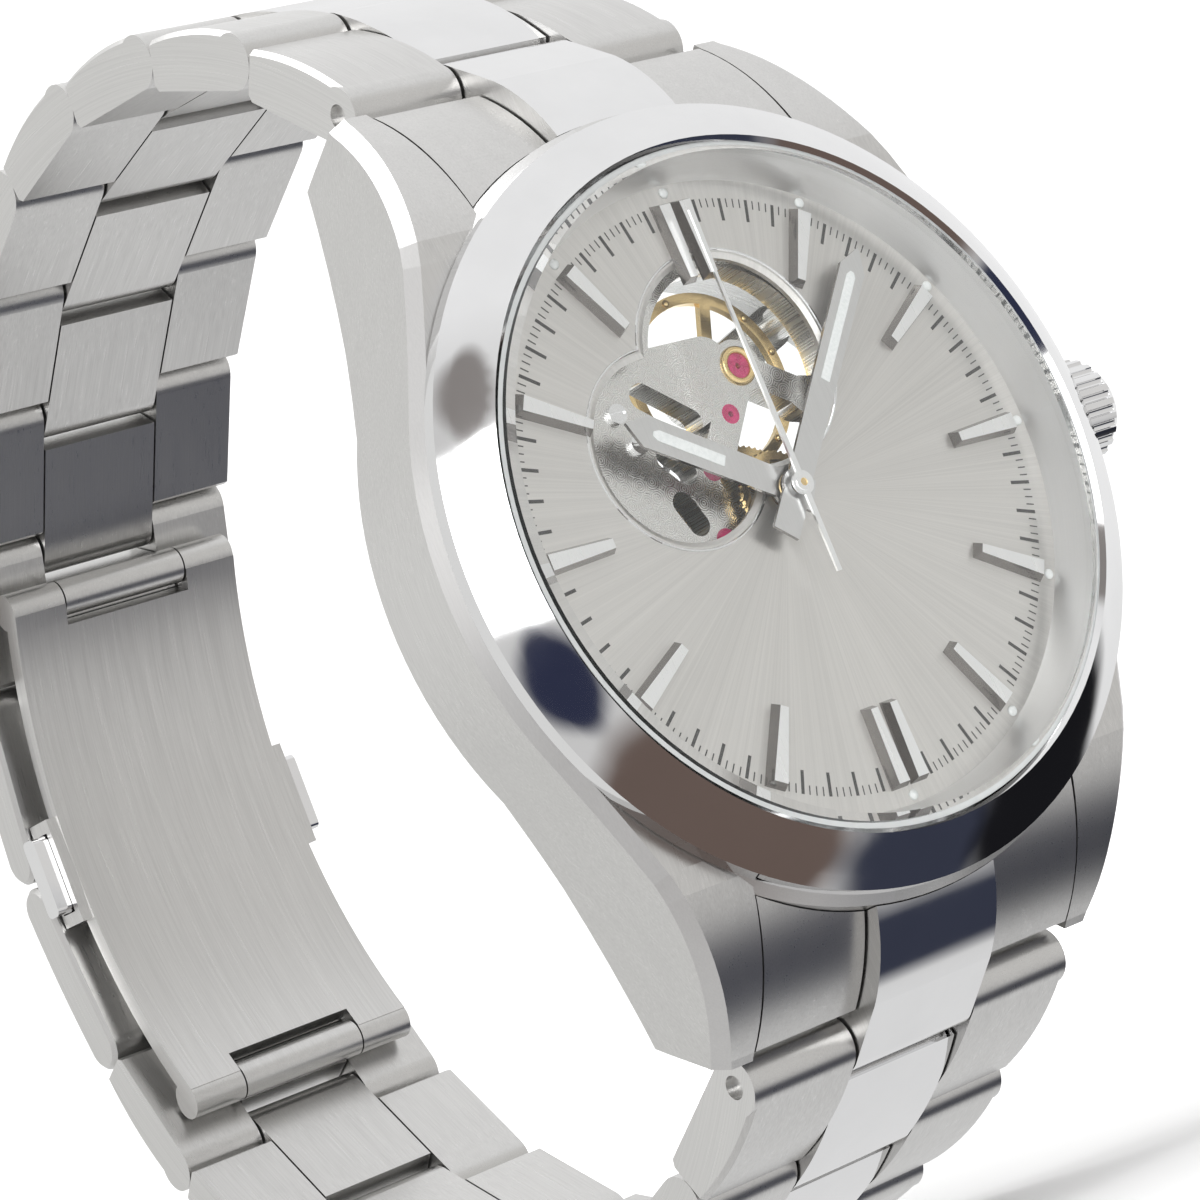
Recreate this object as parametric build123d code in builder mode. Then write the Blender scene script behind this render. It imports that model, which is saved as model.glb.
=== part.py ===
"""Open-heart automatic wristwatch on a steel three-row bracelet, one STEP file per sub-part.

Millimetres. +Z points to 12 o'clock, +X to 3 o'clock and the crown, and the dial faces -Y.
The origin is on the hands' axis, on the dial's front surface, so depth grows towards +Y.
"""

from build123d import *
import os
from math import asin, cos, degrees, hypot, pi, radians, sin, sqrt, tan

os.makedirs("parts", exist_ok=True)

# ---------------------------------------------------------------- driving dimensions: case
CASE_R = 20.0
CASE_FRONT = -0.3
CASE_BACK = 5.2
LUG_TIP = (5.1, 24.1)
LUG_HEEL = (8.2, 21.9)
LUG_ROOT_Z = 15.5
LUG_CREST = (1.5, 20.0)
LUG_FRONT_END = (4.75, 23.75)
SPRING_BAR_AT = (5.2, 21.6)
SPRING_BAR_R = 0.75
LUG_OUTER_X = 12.95
LUG_INNER_X = 10.4
LUG_BREAK_Z = 22.3
LUG_BEVEL = 0.6
WAIST_Z = 9.0
BEZEL_R = 19.6
BEZEL_BORE_R = 17.05
BEZEL_SIDE = -1.2
BEZEL_TOP = -2.8
GLASS_R = 16.75
GLASS_TOP = -3.1
GLASS_UNDER = -1.9
DIAL_R = 16.3
DIAL_THICK = 0.4
FLANGE_R = 15.9
CASE_BORE_R = 14.6
BACK_R = 17.8
BACK_FACE = 8.4
BACK_GLASS_R = 13.8
STEM_DEPTH = 2.6
CROWN_R = 2.7
CROWN_X = 20.3
CROWN_LENGTH = 2.9
CROWN_FLUTES = 22
FLUTE_R = 0.24
STEM_SOCKET = 2.1
STEM_START = 10.4

# ---------------------------------------------------------------- driving dimensions: dial side
LOBE_12 = (0.3, 6.75, 5.25)
LOBE_9 = (-5.05, 3.45, 4.6)
LOBE_BEVEL = 0.3
MARKER_OUTER = 15.0
MARKER_INNER = 10.9
MARKER_HEIGHT = 0.55
HOUR_ANGLE = 303.5
MINUTE_ANGLE = 42.0
SECOND_ANGLE = 0.0

# ---------------------------------------------------------------- driving dimensions: movement
MOVEMENT_R = 12.8
PLATE_FRONT = 1.2
PLATE_BACK = 2.6
BRIDGE_FRONT = 5.0
BRIDGE_BACK = 5.8
BALANCE_AT = (1.2, 6.7)
BALANCE_R = 4.7
FORK_AT = (-0.36, 4.55)
PALLET_BRIDGE_FOOT = (-1.5, 6.1)
ESCAPE_AT = (-2.7, 2.2)
ESCAPE_R = 2.0
THIRD_AT = (-3.5, -1.2)
BARREL_AT = (5.2, -3.9)
MINUTE_WHEEL_AT = (1.98, -1.98)
ROTOR_R = 11.9
ROTOR_FRONT = 6.25
ROTOR_BACK = 7.0

# ---------------------------------------------------------------- driving dimensions: movement layers
# Each is the (front, back) depth of one wheel, pinion or spring, in order from the dial.
HOUR_WHEEL = (0.5, 0.75)
MINUTE_WHEEL = (0.85, 1.1)
MINUTE_PINION = (0.5, 0.9)
THIRD_PINION = (2.7, 3.1)
CENTRE_WHEEL = (2.8, 3.0)
ESCAPEMENT = (3.1, 3.25)
CENTRE_PINION = (3.2, 3.7)
BARREL_TEETH_LAYER = (3.3, 3.6)
BARREL_DRUM = (3.5, 4.4)
BARREL_LID = (4.35, 4.5)
MAINSPRING = (3.68, 4.27)
PALLET_BRIDGE = (3.35, 3.5)
BALANCE_RIM = (3.6, 4.0)
FOURTH_PINION = (3.95, 4.3)
THIRD_WHEEL = (4.05, 4.2)
COLLET = (4.15, 4.4)
HAIRSPRING = (4.2, 4.35)
ESCAPE_PINION = (4.55, 4.9)
FOURTH_WHEEL = (4.65, 4.8)

# ---------------------------------------------------------------- driving dimensions: bracelet
PITCH = 9.0
ROWS = 9
LINK_HALF = 1.45
CENTRE_HALF_W = 3.9
SEAM = 0.06
SEAM_MIDDLE = 2.4
SEAM_DEPTH = 6.0
END_LINK_BACK = 5.0
CENTRE_FRONT_START = (0.2, 18.9)
CENTRE_FRONT_MID = (1.3, 21.4)
CENTRE_FRONT_END = (3.4, 23.9)
WIDTH_AT_CASE = 20.8
WIDTH_AT_CLASP = 18.0
FIRST_PIN = (7.25, 24.95)
PIN_R = 0.6
PIN_RECESS = 0.4
PIN_BORE_R = 0.65
ROD_R = 0.5
JOINT_ROOM = 1.7
OUTER_BEVEL = 0.25
HEADING_12 = 41.5
HEADING_6 = 29.0
BEND_12 = 17.398
BEND_12_STEP = -1.0
BEND_6 = 9.573
BEND_6_STEP = 1.556
BEND_CLASP = 15.0

# ---------------------------------------------------------------- driving dimensions: clasp
CLASP_ANGLE = 29.0
BLADE_OUT = 32.6
BLADE_IN = 31.55
PLATE_OUT = 31.4
PLATE_IN = 30.3
KNUCKLE_AT = 31.45
KNUCKLE_R = 1.1
KNUCKLE_PIN_R = 0.45
BLADE_HALF_W = 6.6
CLASP_HALF_W = 7.8
KNUCKLE_HALF_W = 4.2
CLASP_RADIUS = PITCH / 2 / tan(radians(BEND_CLASP / 2))
BLADE_STOP = 26.5
ARM_KNUCKLE_HALF_W = 3.7
BUTTON_HOUSING_X = 6.9
BUTTON_HOUSING_OUT = 8.5
BUTTON_HOUSING_LENGTH = 6.4
BUTTON_POCKET_X = 6.5
BUTTON_POCKET = (4.9, 1.5)
BUTTON_SIZE = (4.8, 1.4)
BUTTON_INNER_X = 7.2
BUTTON_LENGTH = 2.3
BUTTON_MIDDLE = 31.6


def save(shape, node):
    """Label one finished shape and write it to its own STEP file."""
    shape.label = node
    export_step(shape, f"parts/{node}.step")


def group(pieces, node):
    """Several separate solids kept apart in one node."""
    solids = [solid for piece in pieces for solid in piece.solids()]
    save(Compound(children=solids), node)


def facing(depth, at=(0, 0), turn=0):
    """A plane parallel to the dial, looking towards the eye; turn is clockwise from 12 o'clock."""
    across = (cos(radians(turn)), 0, -sin(radians(turn)))
    return Plane(origin=(at[0], depth, at[1]), x_dir=across, z_dir=(0, -1, 0))


def turned(outline):
    """A ring or disc turned about the hands' axis from its (radius, depth) outline."""
    with BuildPart() as piece:
        with BuildSketch(Plane.XY):
            with BuildLine():
                Polyline(*outline, close=True)
            make_face()
        revolve(axis=Axis.Y)
    return piece


def disc(front, back, radius, at=(0, 0), bore=0):
    """A round blank between two depths, with an optional bore."""
    with BuildPart() as piece:
        with BuildSketch(facing(back, at)):
            Circle(radius)
            if bore:
                Circle(bore, mode=Mode.SUBTRACT)
        extrude(amount=back - front)
    return piece


def tooth_outline(teeth, pitch_r, addendum, dedendum, share=0.5, phase=0.0):
    """The closed outline of a toothed wheel; share is the tooth's part of each pitch at its root."""
    step = 2 * pi / teeth
    root = pitch_r - dedendum
    tip = pitch_r + addendum
    points = []
    for index in range(teeth):
        middle = index * step + phase
        for radius, offset in ((root, -share / 2), (tip, -share / 4), (tip, share / 4), (root, share / 2)):
            angle = middle + offset * step
            points.append((radius * cos(angle), radius * sin(angle)))
    return points


def wheel(front, back, at, teeth, pitch_r, spokes, hub_r, bore, phase=0.0):
    """A spoked train wheel."""
    addendum = 0.35 * pitch_r / teeth * 2
    rim_r = pitch_r - 0.45
    with BuildPart() as piece:
        with BuildSketch(facing(back, at)):
            with BuildLine():
                Polyline(*tooth_outline(teeth, pitch_r, addendum, addendum * 1.4, 0.5, phase), close=True)
            make_face()
            if spokes:
                Circle(rim_r, mode=Mode.SUBTRACT)
                Circle(hub_r)
                with PolarLocations(rim_r / 2 + 0.1, spokes):
                    Rectangle(rim_r + 0.2, 0.28)
            if bore:
                Circle(bore, mode=Mode.SUBTRACT)
        extrude(amount=back - front)
    return piece


def pinion(front, back, at, teeth, pitch_r, bore=0):
    """A solid pinion."""
    addendum = 0.3 * pitch_r / teeth * 2
    with BuildPart() as piece:
        with BuildSketch(facing(back, at)):
            with BuildLine():
                Polyline(*tooth_outline(teeth, pitch_r, addendum, addendum * 1.4), close=True)
            make_face()
            if bore:
                Circle(bore, mode=Mode.SUBTRACT)
        extrude(amount=back - front)
    return piece


def joined(*pieces):
    """Fuse pieces that are one solid on the real part."""
    with BuildPart() as whole:
        for piece in pieces:
            add(piece.part)
    return whole


# ================================================================ case
def side_profile():
    """One end of the case seen from 9 o'clock, lug included, as a prism across the whole width."""
    with BuildPart() as prism:
        with BuildSketch(Plane.YZ.offset(-25)):
            with BuildLine():
                Line((CASE_FRONT, 0), (CASE_FRONT, LUG_ROOT_Z))
                ThreePointArc((CASE_FRONT, LUG_ROOT_Z), LUG_CREST, LUG_FRONT_END)
                Line(LUG_FRONT_END, LUG_TIP)
                Line(LUG_TIP, LUG_HEEL)
                Line(LUG_HEEL, (6.1, 13.5))
                Line((6.1, 13.5), (CASE_BACK, 9))
                Line((CASE_BACK, 9), (CASE_BACK, 0))
                Line((CASE_BACK, 0), (CASE_FRONT, 0))
            make_face()
        extrude(amount=50)
    return prism


with BuildPart() as round_body:
    with BuildSketch(facing(CASE_BACK)):
        Circle(CASE_R)
    extrude(amount=CASE_BACK - CASE_FRONT)
    chamfer(round_body.faces().sort_by(Axis.Y)[0].edges(), LUG_BEVEL)

waist_x = sqrt(CASE_R**2 - WAIST_Z**2)
root_x = waist_x * 0.9
lug_mid = (15.0, 16.0)
with BuildPart() as case_middle:
    with BuildSketch(facing(9)):
        with BuildLine():
            Line((LUG_INNER_X, 10), (root_x, 5))
            Line((root_x, 5), (waist_x, WAIST_Z))
            ThreePointArc((waist_x, WAIST_Z), lug_mid, (LUG_OUTER_X, LUG_BREAK_Z))
            Line((LUG_OUTER_X, LUG_BREAK_Z), (12.0, 25))
            Line((12.0, 25), (LUG_INNER_X, 25))
            Line((LUG_INNER_X, 25), (LUG_INNER_X, 10))
        make_face()
    extrude(amount=10)
    add(side_profile().part, mode=Mode.INTERSECT)
    outer_front = []
    for edge in case_middle.edges():
        middle = edge.center()
        if middle.X > LUG_OUTER_X - 0.5 and middle.Y < LUG_CREST[0] + 1 and middle.Z > WAIST_Z:
            outer_front.append(edge)
    chamfer(outer_front, LUG_BEVEL)
    mirror(about=Plane.XY)
    mirror(about=Plane.YZ)
    with BuildSketch(facing(CASE_BACK + 5)):
        Circle(BACK_R + 0.1)
    extrude(amount=5, mode=Mode.SUBTRACT)
    add(round_body.part)
    with BuildSketch(facing(CASE_BACK + 1)):
        Circle(CASE_BORE_R)
    extrude(amount=10, mode=Mode.SUBTRACT)
    with BuildSketch(facing(DIAL_THICK + 0.05)):
        Circle(DIAL_R + 0.1)
    extrude(amount=3, mode=Mode.SUBTRACT)
    with Locations(Location((0, STEM_DEPTH, 0), (0, 90, 0))):
        Cylinder(1.0, 30, align=(Align.CENTER, Align.CENTER, Align.MIN), mode=Mode.SUBTRACT)
    for end in (1, -1):
        with Locations(Location((0, SPRING_BAR_AT[0], end * SPRING_BAR_AT[1]), (0, 90, 0))):
            Cylinder(SPRING_BAR_R + 0.05, 2 * 11.5, mode=Mode.SUBTRACT)
save(case_middle.part, "case_middle")

with BuildPart() as bezel:
    with BuildSketch(Plane.XY):
        with BuildLine():
            Line((BEZEL_BORE_R, -1.95), (BEZEL_BORE_R, BEZEL_TOP + 0.2))
            Line((BEZEL_BORE_R, BEZEL_TOP + 0.2), (17.3, BEZEL_TOP))
            ThreePointArc((17.3, BEZEL_TOP), (18.49, -2.06), (BEZEL_R, BEZEL_SIDE))
            Line((BEZEL_R, BEZEL_SIDE), (BEZEL_R, CASE_FRONT - 0.12))
            Line((BEZEL_R, CASE_FRONT - 0.12), (BEZEL_R - 0.25, CASE_FRONT))
            Line((BEZEL_R - 0.25, CASE_FRONT), (BEZEL_BORE_R, CASE_FRONT))
            Line((BEZEL_BORE_R, CASE_FRONT), (BEZEL_BORE_R, -1.95))
        make_face()
    revolve(axis=Axis.Y)
save(bezel.part, "bezel")

crystal = turned(
    [
        (0, GLASS_UNDER),
        (0, GLASS_TOP),
        (GLASS_R - 0.3, GLASS_TOP),
        (GLASS_R, GLASS_TOP + 0.3),
        (GLASS_R, GLASS_UNDER),
    ]
)
save(crystal.part, "crystal")

dial_flange = turned(
    [
        (FLANGE_R, 0),
        (GLASS_R, GLASS_UNDER),
        (BEZEL_BORE_R, GLASS_UNDER),
        (BEZEL_BORE_R, CASE_FRONT),
        (DIAL_R, CASE_FRONT),
        (DIAL_R, 0),
    ]
)
save(dial_flange.part, "dial_flange")

crystal_gasket = turned(
    [
        (GLASS_R, GLASS_UNDER),
        (GLASS_R, BEZEL_TOP + 0.3),
        (BEZEL_BORE_R, BEZEL_TOP + 0.3),
        (BEZEL_BORE_R, GLASS_UNDER),
    ]
)
back_gasket = turned([(16.2, CASE_BACK), (16.2, 5.55), (16.8, 5.55), (16.8, CASE_BACK)])
group([crystal_gasket.part, back_gasket.part], "gaskets")

case_back = turned(
    [
        (CASE_BORE_R - 0.05, 4.6),
        (CASE_BORE_R - 0.05, CASE_BACK),
        (16.2, CASE_BACK),
        (16.2, 5.55),
        (16.8, 5.55),
        (16.8, CASE_BACK),
        (BACK_R, CASE_BACK),
        (BACK_R, 6.4),
        (BACK_R - 0.4, 6.8),
        (16.4, 7.4),
        (15.6, BACK_FACE),
        (BACK_GLASS_R + 0.05, BACK_FACE),
        (BACK_GLASS_R + 0.05, 7.25),
        (BACK_GLASS_R - 0.8, 7.25),
        (BACK_GLASS_R - 0.8, 4.6),
    ]
)
save(case_back.part, "case_back")

case_back_crystal = disc(7.25, BACK_FACE - 0.1, BACK_GLASS_R)
save(case_back_crystal.part, "case_back_crystal")

with BuildPart() as movement_holder:
    with BuildSketch(facing(4.55)):
        Circle(CASE_BORE_R - 0.05)
        Circle(MOVEMENT_R, mode=Mode.SUBTRACT)
    extrude(amount=4.55 - 0.5)
    with Locations(Location((0, STEM_DEPTH, 0), (0, 90, 0))):
        Cylinder(0.8, 30, align=(Align.CENTER, Align.CENTER, Align.MIN), mode=Mode.SUBTRACT)
save(movement_holder.part, "movement_holder")

with BuildPart() as crown_tube:
    with BuildSketch(Plane.YZ.offset(16.5)):
        with Locations((STEM_DEPTH, 0)):
            Circle(1.0)
            Circle(0.58, mode=Mode.SUBTRACT)
    extrude(amount=4.9)
save(crown_tube.part, "crown_tube")

# ================================================================ crown and stem
with BuildPart() as crown:
    with BuildSketch(Plane.YZ.offset(CROWN_X)):
        with Locations((STEM_DEPTH, 0)):
            Circle(CROWN_R)
            with PolarLocations(CROWN_R + 0.05, CROWN_FLUTES):
                Circle(FLUTE_R, mode=Mode.SUBTRACT)
    extrude(amount=CROWN_LENGTH - 0.5)
    with BuildSketch(Plane.YZ.offset(CROWN_X + CROWN_LENGTH - 0.5)):
        with Locations((STEM_DEPTH, 0)):
            Circle(CROWN_R - 0.15)
    extrude(amount=0.5, taper=30)
    with BuildSketch(Plane.YZ.offset(CROWN_X)):
        with Locations((STEM_DEPTH, 0)):
            Circle(1.45)
    extrude(amount=1.5, mode=Mode.SUBTRACT)
    with BuildSketch(Plane.YZ.offset(CROWN_X)):
        with Locations((STEM_DEPTH, 0)):
            Circle(0.5)
    extrude(amount=STEM_SOCKET, mode=Mode.SUBTRACT)
save(crown.part, "crown")

with BuildPart() as winding_stem:
    with BuildSketch(Plane.YZ.offset(STEM_START)):
        with Locations((STEM_DEPTH, 0)):
            Circle(0.5)
    extrude(amount=CROWN_X + STEM_SOCKET - STEM_START)
save(winding_stem.part, "winding_stem")

with BuildPart() as crown_gasket:
    with BuildSketch(Plane.YZ.offset(CROWN_X + 0.15)):
        with Locations((STEM_DEPTH, 0)):
            Circle(1.42)
            Circle(1.03, mode=Mode.SUBTRACT)
    extrude(amount=0.6)
save(crown_gasket.part, "crown_gasket")

# ================================================================ dial
with BuildPart() as dial:
    with BuildSketch(facing(DIAL_THICK)):
        Circle(DIAL_R)
        Circle(1.0, mode=Mode.SUBTRACT)
    extrude(amount=DIAL_THICK)
    for x, z, radius in (LOBE_12, LOBE_9):
        with Locations(Location((x, 0, z), (90, 0, 0))):
            Cylinder(radius, 4, mode=Mode.SUBTRACT)
        with BuildSketch(facing(LOBE_BEVEL / 2, (x, z))):
            Circle(radius)
        extrude(amount=LOBE_BEVEL / 2, taper=-60, mode=Mode.SUBTRACT)
save(dial.part, "dial")


def baton(angle, across, outer_w, inner_w):
    """One applied marker: a flat-topped baton with sloping sides, tapering towards the hands' axis."""
    with BuildPart() as marker:
        with BuildSketch(facing(0, turn=angle)):
            with BuildLine():
                Polyline(
                    (across - outer_w / 2, MARKER_OUTER),
                    (across + outer_w / 2, MARKER_OUTER),
                    (across + inner_w / 2, MARKER_INNER),
                    (across - inner_w / 2, MARKER_INNER),
                    close=True,
                )
            make_face()
        extrude(amount=MARKER_HEIGHT, taper=18)
    return marker


marker_solids = []
for hour in range(12):
    if hour % 6 == 0:
        pair = [baton(hour * 30, side * 0.62, 1.05, 0.8) for side in (1, -1)]
        marker_solids += [one.part for one in pair]
    else:
        marker_solids.append(baton(hour * 30, 0, 1.15, 0.8).part)
group(marker_solids, "hour_markers")

# ================================================================ hands
def hand(angle, front, back, tip, shoulder, width, root_width, hub_r, bore, tail):
    """A flat baton hand with a pointed tip and a pentagonal tail; lengths run from the axis."""
    with BuildPart() as piece:
        with BuildSketch(facing(back, turn=angle)):
            with BuildLine():
                Polyline(
                    (0, tip),
                    (width / 2, shoulder),
                    (root_width / 2, 0),
                    (width * 0.5, -tail * 0.45),
                    (width * 0.5, -tail),
                    (-width * 0.5, -tail),
                    (-width * 0.5, -tail * 0.45),
                    (-root_width / 2, 0),
                    (-width / 2, shoulder),
                    close=True,
                )
            make_face()
            Circle(hub_r)
            Circle(bore, mode=Mode.SUBTRACT)
        extrude(amount=back - front)
    return piece


hour_hand = hand(
    HOUR_ANGLE,
    front=-0.55,
    back=-0.35,
    tip=9.4,
    shoulder=8.3,
    width=1.65,
    root_width=1.45,
    hub_r=1.15,
    bore=0.8,
    tail=1.2,
)
save(hour_hand.part, "hour_hand")

minute_hand = hand(
    MINUTE_ANGLE,
    front=-1.0,
    back=-0.8,
    tip=13.9,
    shoulder=12.6,
    width=1.45,
    root_width=1.3,
    hub_r=0.85,
    bore=0.45,
    tail=2.7,
)
save(minute_hand.part, "minute_hand")

seconds_pipe = disc(-1.45, -1.05, 0.42, bore=0.2)
with BuildPart() as seconds_needle:
    with BuildSketch(facing(-1.25, turn=SECOND_ANGLE)):
        with BuildLine():
            Polyline(
                (0.06, 14.1),
                (0.16, 0),
                (0.13, -4.5),
                (-0.13, -4.5),
                (-0.16, 0),
                (-0.06, 14.1),
                close=True,
            )
        make_face()
        Circle(0.6)
        Circle(0.2, mode=Mode.SUBTRACT)
    extrude(amount=0.14)
seconds_hand = joined(seconds_needle, seconds_pipe)
save(seconds_hand.part, "seconds_hand")

# ================================================================ train
CENTRE = (0, 0)
CENTRE_TEETH = (64, 8)
THIRD_TEETH = (60, 8)
FOURTH_TEETH = (72, 8)
BARREL_TEETH = (84, 12)
MOTION_TEETH = (36, 12)
HOUR_TEETH = (40, 10)
TUBE_R = 0.45
HOUR_TUBE_R = 0.8
SECOND_ARBOR_R = 0.2
ARBOR_R = 0.3
PIVOT_R = 0.12
JEWEL_BORE_R = 0.15


def mesh_radii(distance, teeth):
    """Pitch radii of a wheel and a pinion at a centre distance."""
    large = distance * teeth[0] / (teeth[0] + teeth[1])
    return large, distance - large


def between(a, b):
    """Distance between two pivots."""
    return hypot(a[0] - b[0], a[1] - b[1])


def arbor(at, back=BRIDGE_FRONT - 0.05, back_pivot=0.5):
    """A shouldered arbor with one pivot in the plate's jewel and one behind."""
    body = disc(PLATE_BACK + 0.05, back, ARBOR_R, at)
    return joined(body, disc(PLATE_FRONT + 0.2, back + back_pivot, PIVOT_R, at))


third_distance = between(CENTRE, THIRD_AT)
centre_r, third_pinion_r = mesh_radii(third_distance, CENTRE_TEETH)
third_r, fourth_pinion_r = mesh_radii(third_distance, THIRD_TEETH)
fourth_r, escape_pinion_r = mesh_radii(between(CENTRE, ESCAPE_AT), FOURTH_TEETH)
barrel_r, centre_pinion_r = mesh_radii(between(CENTRE, BARREL_AT), BARREL_TEETH)
motion_distance = between(CENTRE, MINUTE_WHEEL_AT)
minute_wheel_r, cannon_r = mesh_radii(motion_distance, MOTION_TEETH)
hour_wheel_r, minute_pinion_r = mesh_radii(motion_distance, HOUR_TEETH)

centre_wheel = joined(
    disc(-1.0, CENTRE_PINION[1], TUBE_R),
    wheel(*CENTRE_WHEEL, CENTRE, CENTRE_TEETH[0], centre_r, 5, 0.8, 0),
    pinion(*CENTRE_PINION, CENTRE, BARREL_TEETH[1], centre_pinion_r),
    pinion(*MINUTE_WHEEL, CENTRE, MOTION_TEETH[1], cannon_r),
)
with BuildPart() as centre_wheel_bored:
    add(centre_wheel.part)
    with BuildSketch(facing(4)):
        Circle(SECOND_ARBOR_R + 0.07)
    extrude(amount=6, mode=Mode.SUBTRACT)
save(centre_wheel_bored.part, "centre_wheel")

fourth_wheel = joined(
    disc(-1.4, 4.95, SECOND_ARBOR_R),
    disc(4.9, 5.45, PIVOT_R),
    wheel(*FOURTH_WHEEL, CENTRE, FOURTH_TEETH[0], fourth_r, 4, 0.6, 0),
    pinion(*FOURTH_PINION, CENTRE, THIRD_TEETH[1], fourth_pinion_r),
)
save(fourth_wheel.part, "fourth_wheel")

third_wheel = joined(
    arbor(THIRD_AT),
    wheel(*THIRD_WHEEL, THIRD_AT, THIRD_TEETH[0], third_r, 4, 0.7, 0),
    pinion(*THIRD_PINION, THIRD_AT, CENTRE_TEETH[1], third_pinion_r),
)
save(third_wheel.part, "third_wheel")

with BuildPart() as escape_disc:
    with BuildSketch(facing(ESCAPEMENT[1], ESCAPE_AT)):
        with BuildLine():
            Polyline(*tooth_outline(20, ESCAPE_R - 0.15, 0.15, 0.25, 0.45), close=True)
        make_face()
        Circle(ESCAPE_R - 0.75, mode=Mode.SUBTRACT)
        Circle(0.5)
        with PolarLocations(0.9, 4):
            Rectangle(1.3, 0.22)
    extrude(amount=ESCAPEMENT[1] - ESCAPEMENT[0])
escape_wheel = joined(
    arbor(ESCAPE_AT), escape_disc, pinion(*ESCAPE_PINION, ESCAPE_AT, FOURTH_TEETH[1], escape_pinion_r)
)
save(escape_wheel.part, "escape_wheel")


def bar(front, back, start, end, width):
    """A flat bar between two points of the dial's plane, with round ends."""
    length = between(start, end)
    middle = ((start[0] + end[0]) / 2, (start[1] + end[1]) / 2)
    slope = degrees(asin((end[1] - start[1]) / length))
    if end[0] < start[0]:
        slope = -slope
    with BuildPart() as piece:
        with BuildSketch(facing(back)):
            with Locations(middle):
                SlotCenterToCenter(length, width, rotation=slope)
        extrude(amount=back - front)
    return piece


lock_angle = 37
pallet_points = []
for side in (1, -1):
    facing_angle = 45 + side * lock_angle
    pallet_points.append(
        (
            ESCAPE_AT[0] + (ESCAPE_R + 0.3) * cos(radians(facing_angle)),
            ESCAPE_AT[1] + (ESCAPE_R + 0.3) * sin(radians(facing_angle)),
        )
    )
roller_share = 1 - 0.85 / between(FORK_AT, BALANCE_AT)
lever_tip = (
    FORK_AT[0] + (BALANCE_AT[0] - FORK_AT[0]) * roller_share,
    FORK_AT[1] + (BALANCE_AT[1] - FORK_AT[1]) * roller_share,
)
pallet_fork = joined(
    arbor(FORK_AT, PALLET_BRIDGE[0] - 0.04, 0.17),
    bar(*ESCAPEMENT, FORK_AT, pallet_points[0], 0.32),
    bar(*ESCAPEMENT, FORK_AT, pallet_points[1], 0.32),
    bar(*ESCAPEMENT, FORK_AT, lever_tip, 0.3),
)
save(pallet_fork.part, "pallet_fork")

with BuildPart() as balance_rim:
    with BuildSketch(facing(BALANCE_RIM[1], BALANCE_AT, 22)):
        Circle(BALANCE_R)
        Circle(BALANCE_R - 0.55, mode=Mode.SUBTRACT)
        Circle(0.75)
        Rectangle(0.6, 2 * BALANCE_R - 0.5)
        Rectangle(2 * BALANCE_R - 0.5, 0.6)
    extrude(amount=BALANCE_RIM[1] - BALANCE_RIM[0])
balance_staff = joined(
    disc(PLATE_BACK + 0.1, BRIDGE_FRONT - 0.1, 0.28, BALANCE_AT),
    disc(PLATE_FRONT + 0.2, BRIDGE_FRONT + 0.4, PIVOT_R, BALANCE_AT),
    disc(ESCAPEMENT[0] - 0.04, ESCAPEMENT[1] + 0.04, 0.6, BALANCE_AT),
)
balance_wheel = joined(balance_rim, balance_staff)
save(balance_wheel.part, "balance_wheel")


def spiral(front, back, at, inner, outer, turns, strip, steps=14):
    """A flat spiral spring of rectangular section."""
    edge_in = []
    edge_out = []
    count = turns * steps
    for index in range(count + 1):
        angle = 2 * pi * index / steps
        radius = inner + (outer - inner) * index / count
        edge_in.append((radius * cos(angle), radius * sin(angle)))
        edge_out.append(((radius + strip) * cos(angle), (radius + strip) * sin(angle)))
    with BuildPart() as piece:
        with BuildSketch(facing(back, at)):
            with BuildLine():
                Polyline(*edge_in, *reversed(edge_out), close=True)
            make_face()
        extrude(amount=back - front)
    return piece


collet = disc(*COLLET, 0.55, BALANCE_AT, bore=0.28)
hairspring = spiral(*HAIRSPRING, BALANCE_AT, 0.5, 2.5, 7, 0.07)
save(joined(collet, hairspring).part, "hairspring")

barrel_shell = joined(
    wheel(*BARREL_TEETH_LAYER, BARREL_AT, BARREL_TEETH[0], barrel_r, 0, 0, 0.85),
    disc(*BARREL_DRUM, 5.1, BARREL_AT, bore=4.8),
    disc(*BARREL_LID, 5.1, BARREL_AT, bore=0.85),
)
mainspring = spiral(*MAINSPRING, BARREL_AT, 1.0, 4.45, 8, 0.14)
group([barrel_shell.part, mainspring.part], "mainspring_barrel")

hour_wheel = joined(
    wheel(*HOUR_WHEEL, CENTRE, HOUR_TEETH[0], hour_wheel_r, 4, 1.1, 0),
    disc(-0.6, HOUR_WHEEL[1], HOUR_TUBE_R),
)
with BuildPart() as hour_wheel_bored:
    add(hour_wheel.part)
    with BuildSketch(facing(2)):
        Circle(TUBE_R + 0.05)
    extrude(amount=4, mode=Mode.SUBTRACT)
save(hour_wheel_bored.part, "hour_wheel")

minute_wheel = joined(
    wheel(*MINUTE_WHEEL, MINUTE_WHEEL_AT, MOTION_TEETH[0], minute_wheel_r, 4, 0.7, 0.25, phase=pi / 36),
    pinion(*MINUTE_PINION, MINUTE_WHEEL_AT, HOUR_TEETH[1], minute_pinion_r, bore=0.25),
)
save(minute_wheel.part, "minute_wheel")

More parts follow.
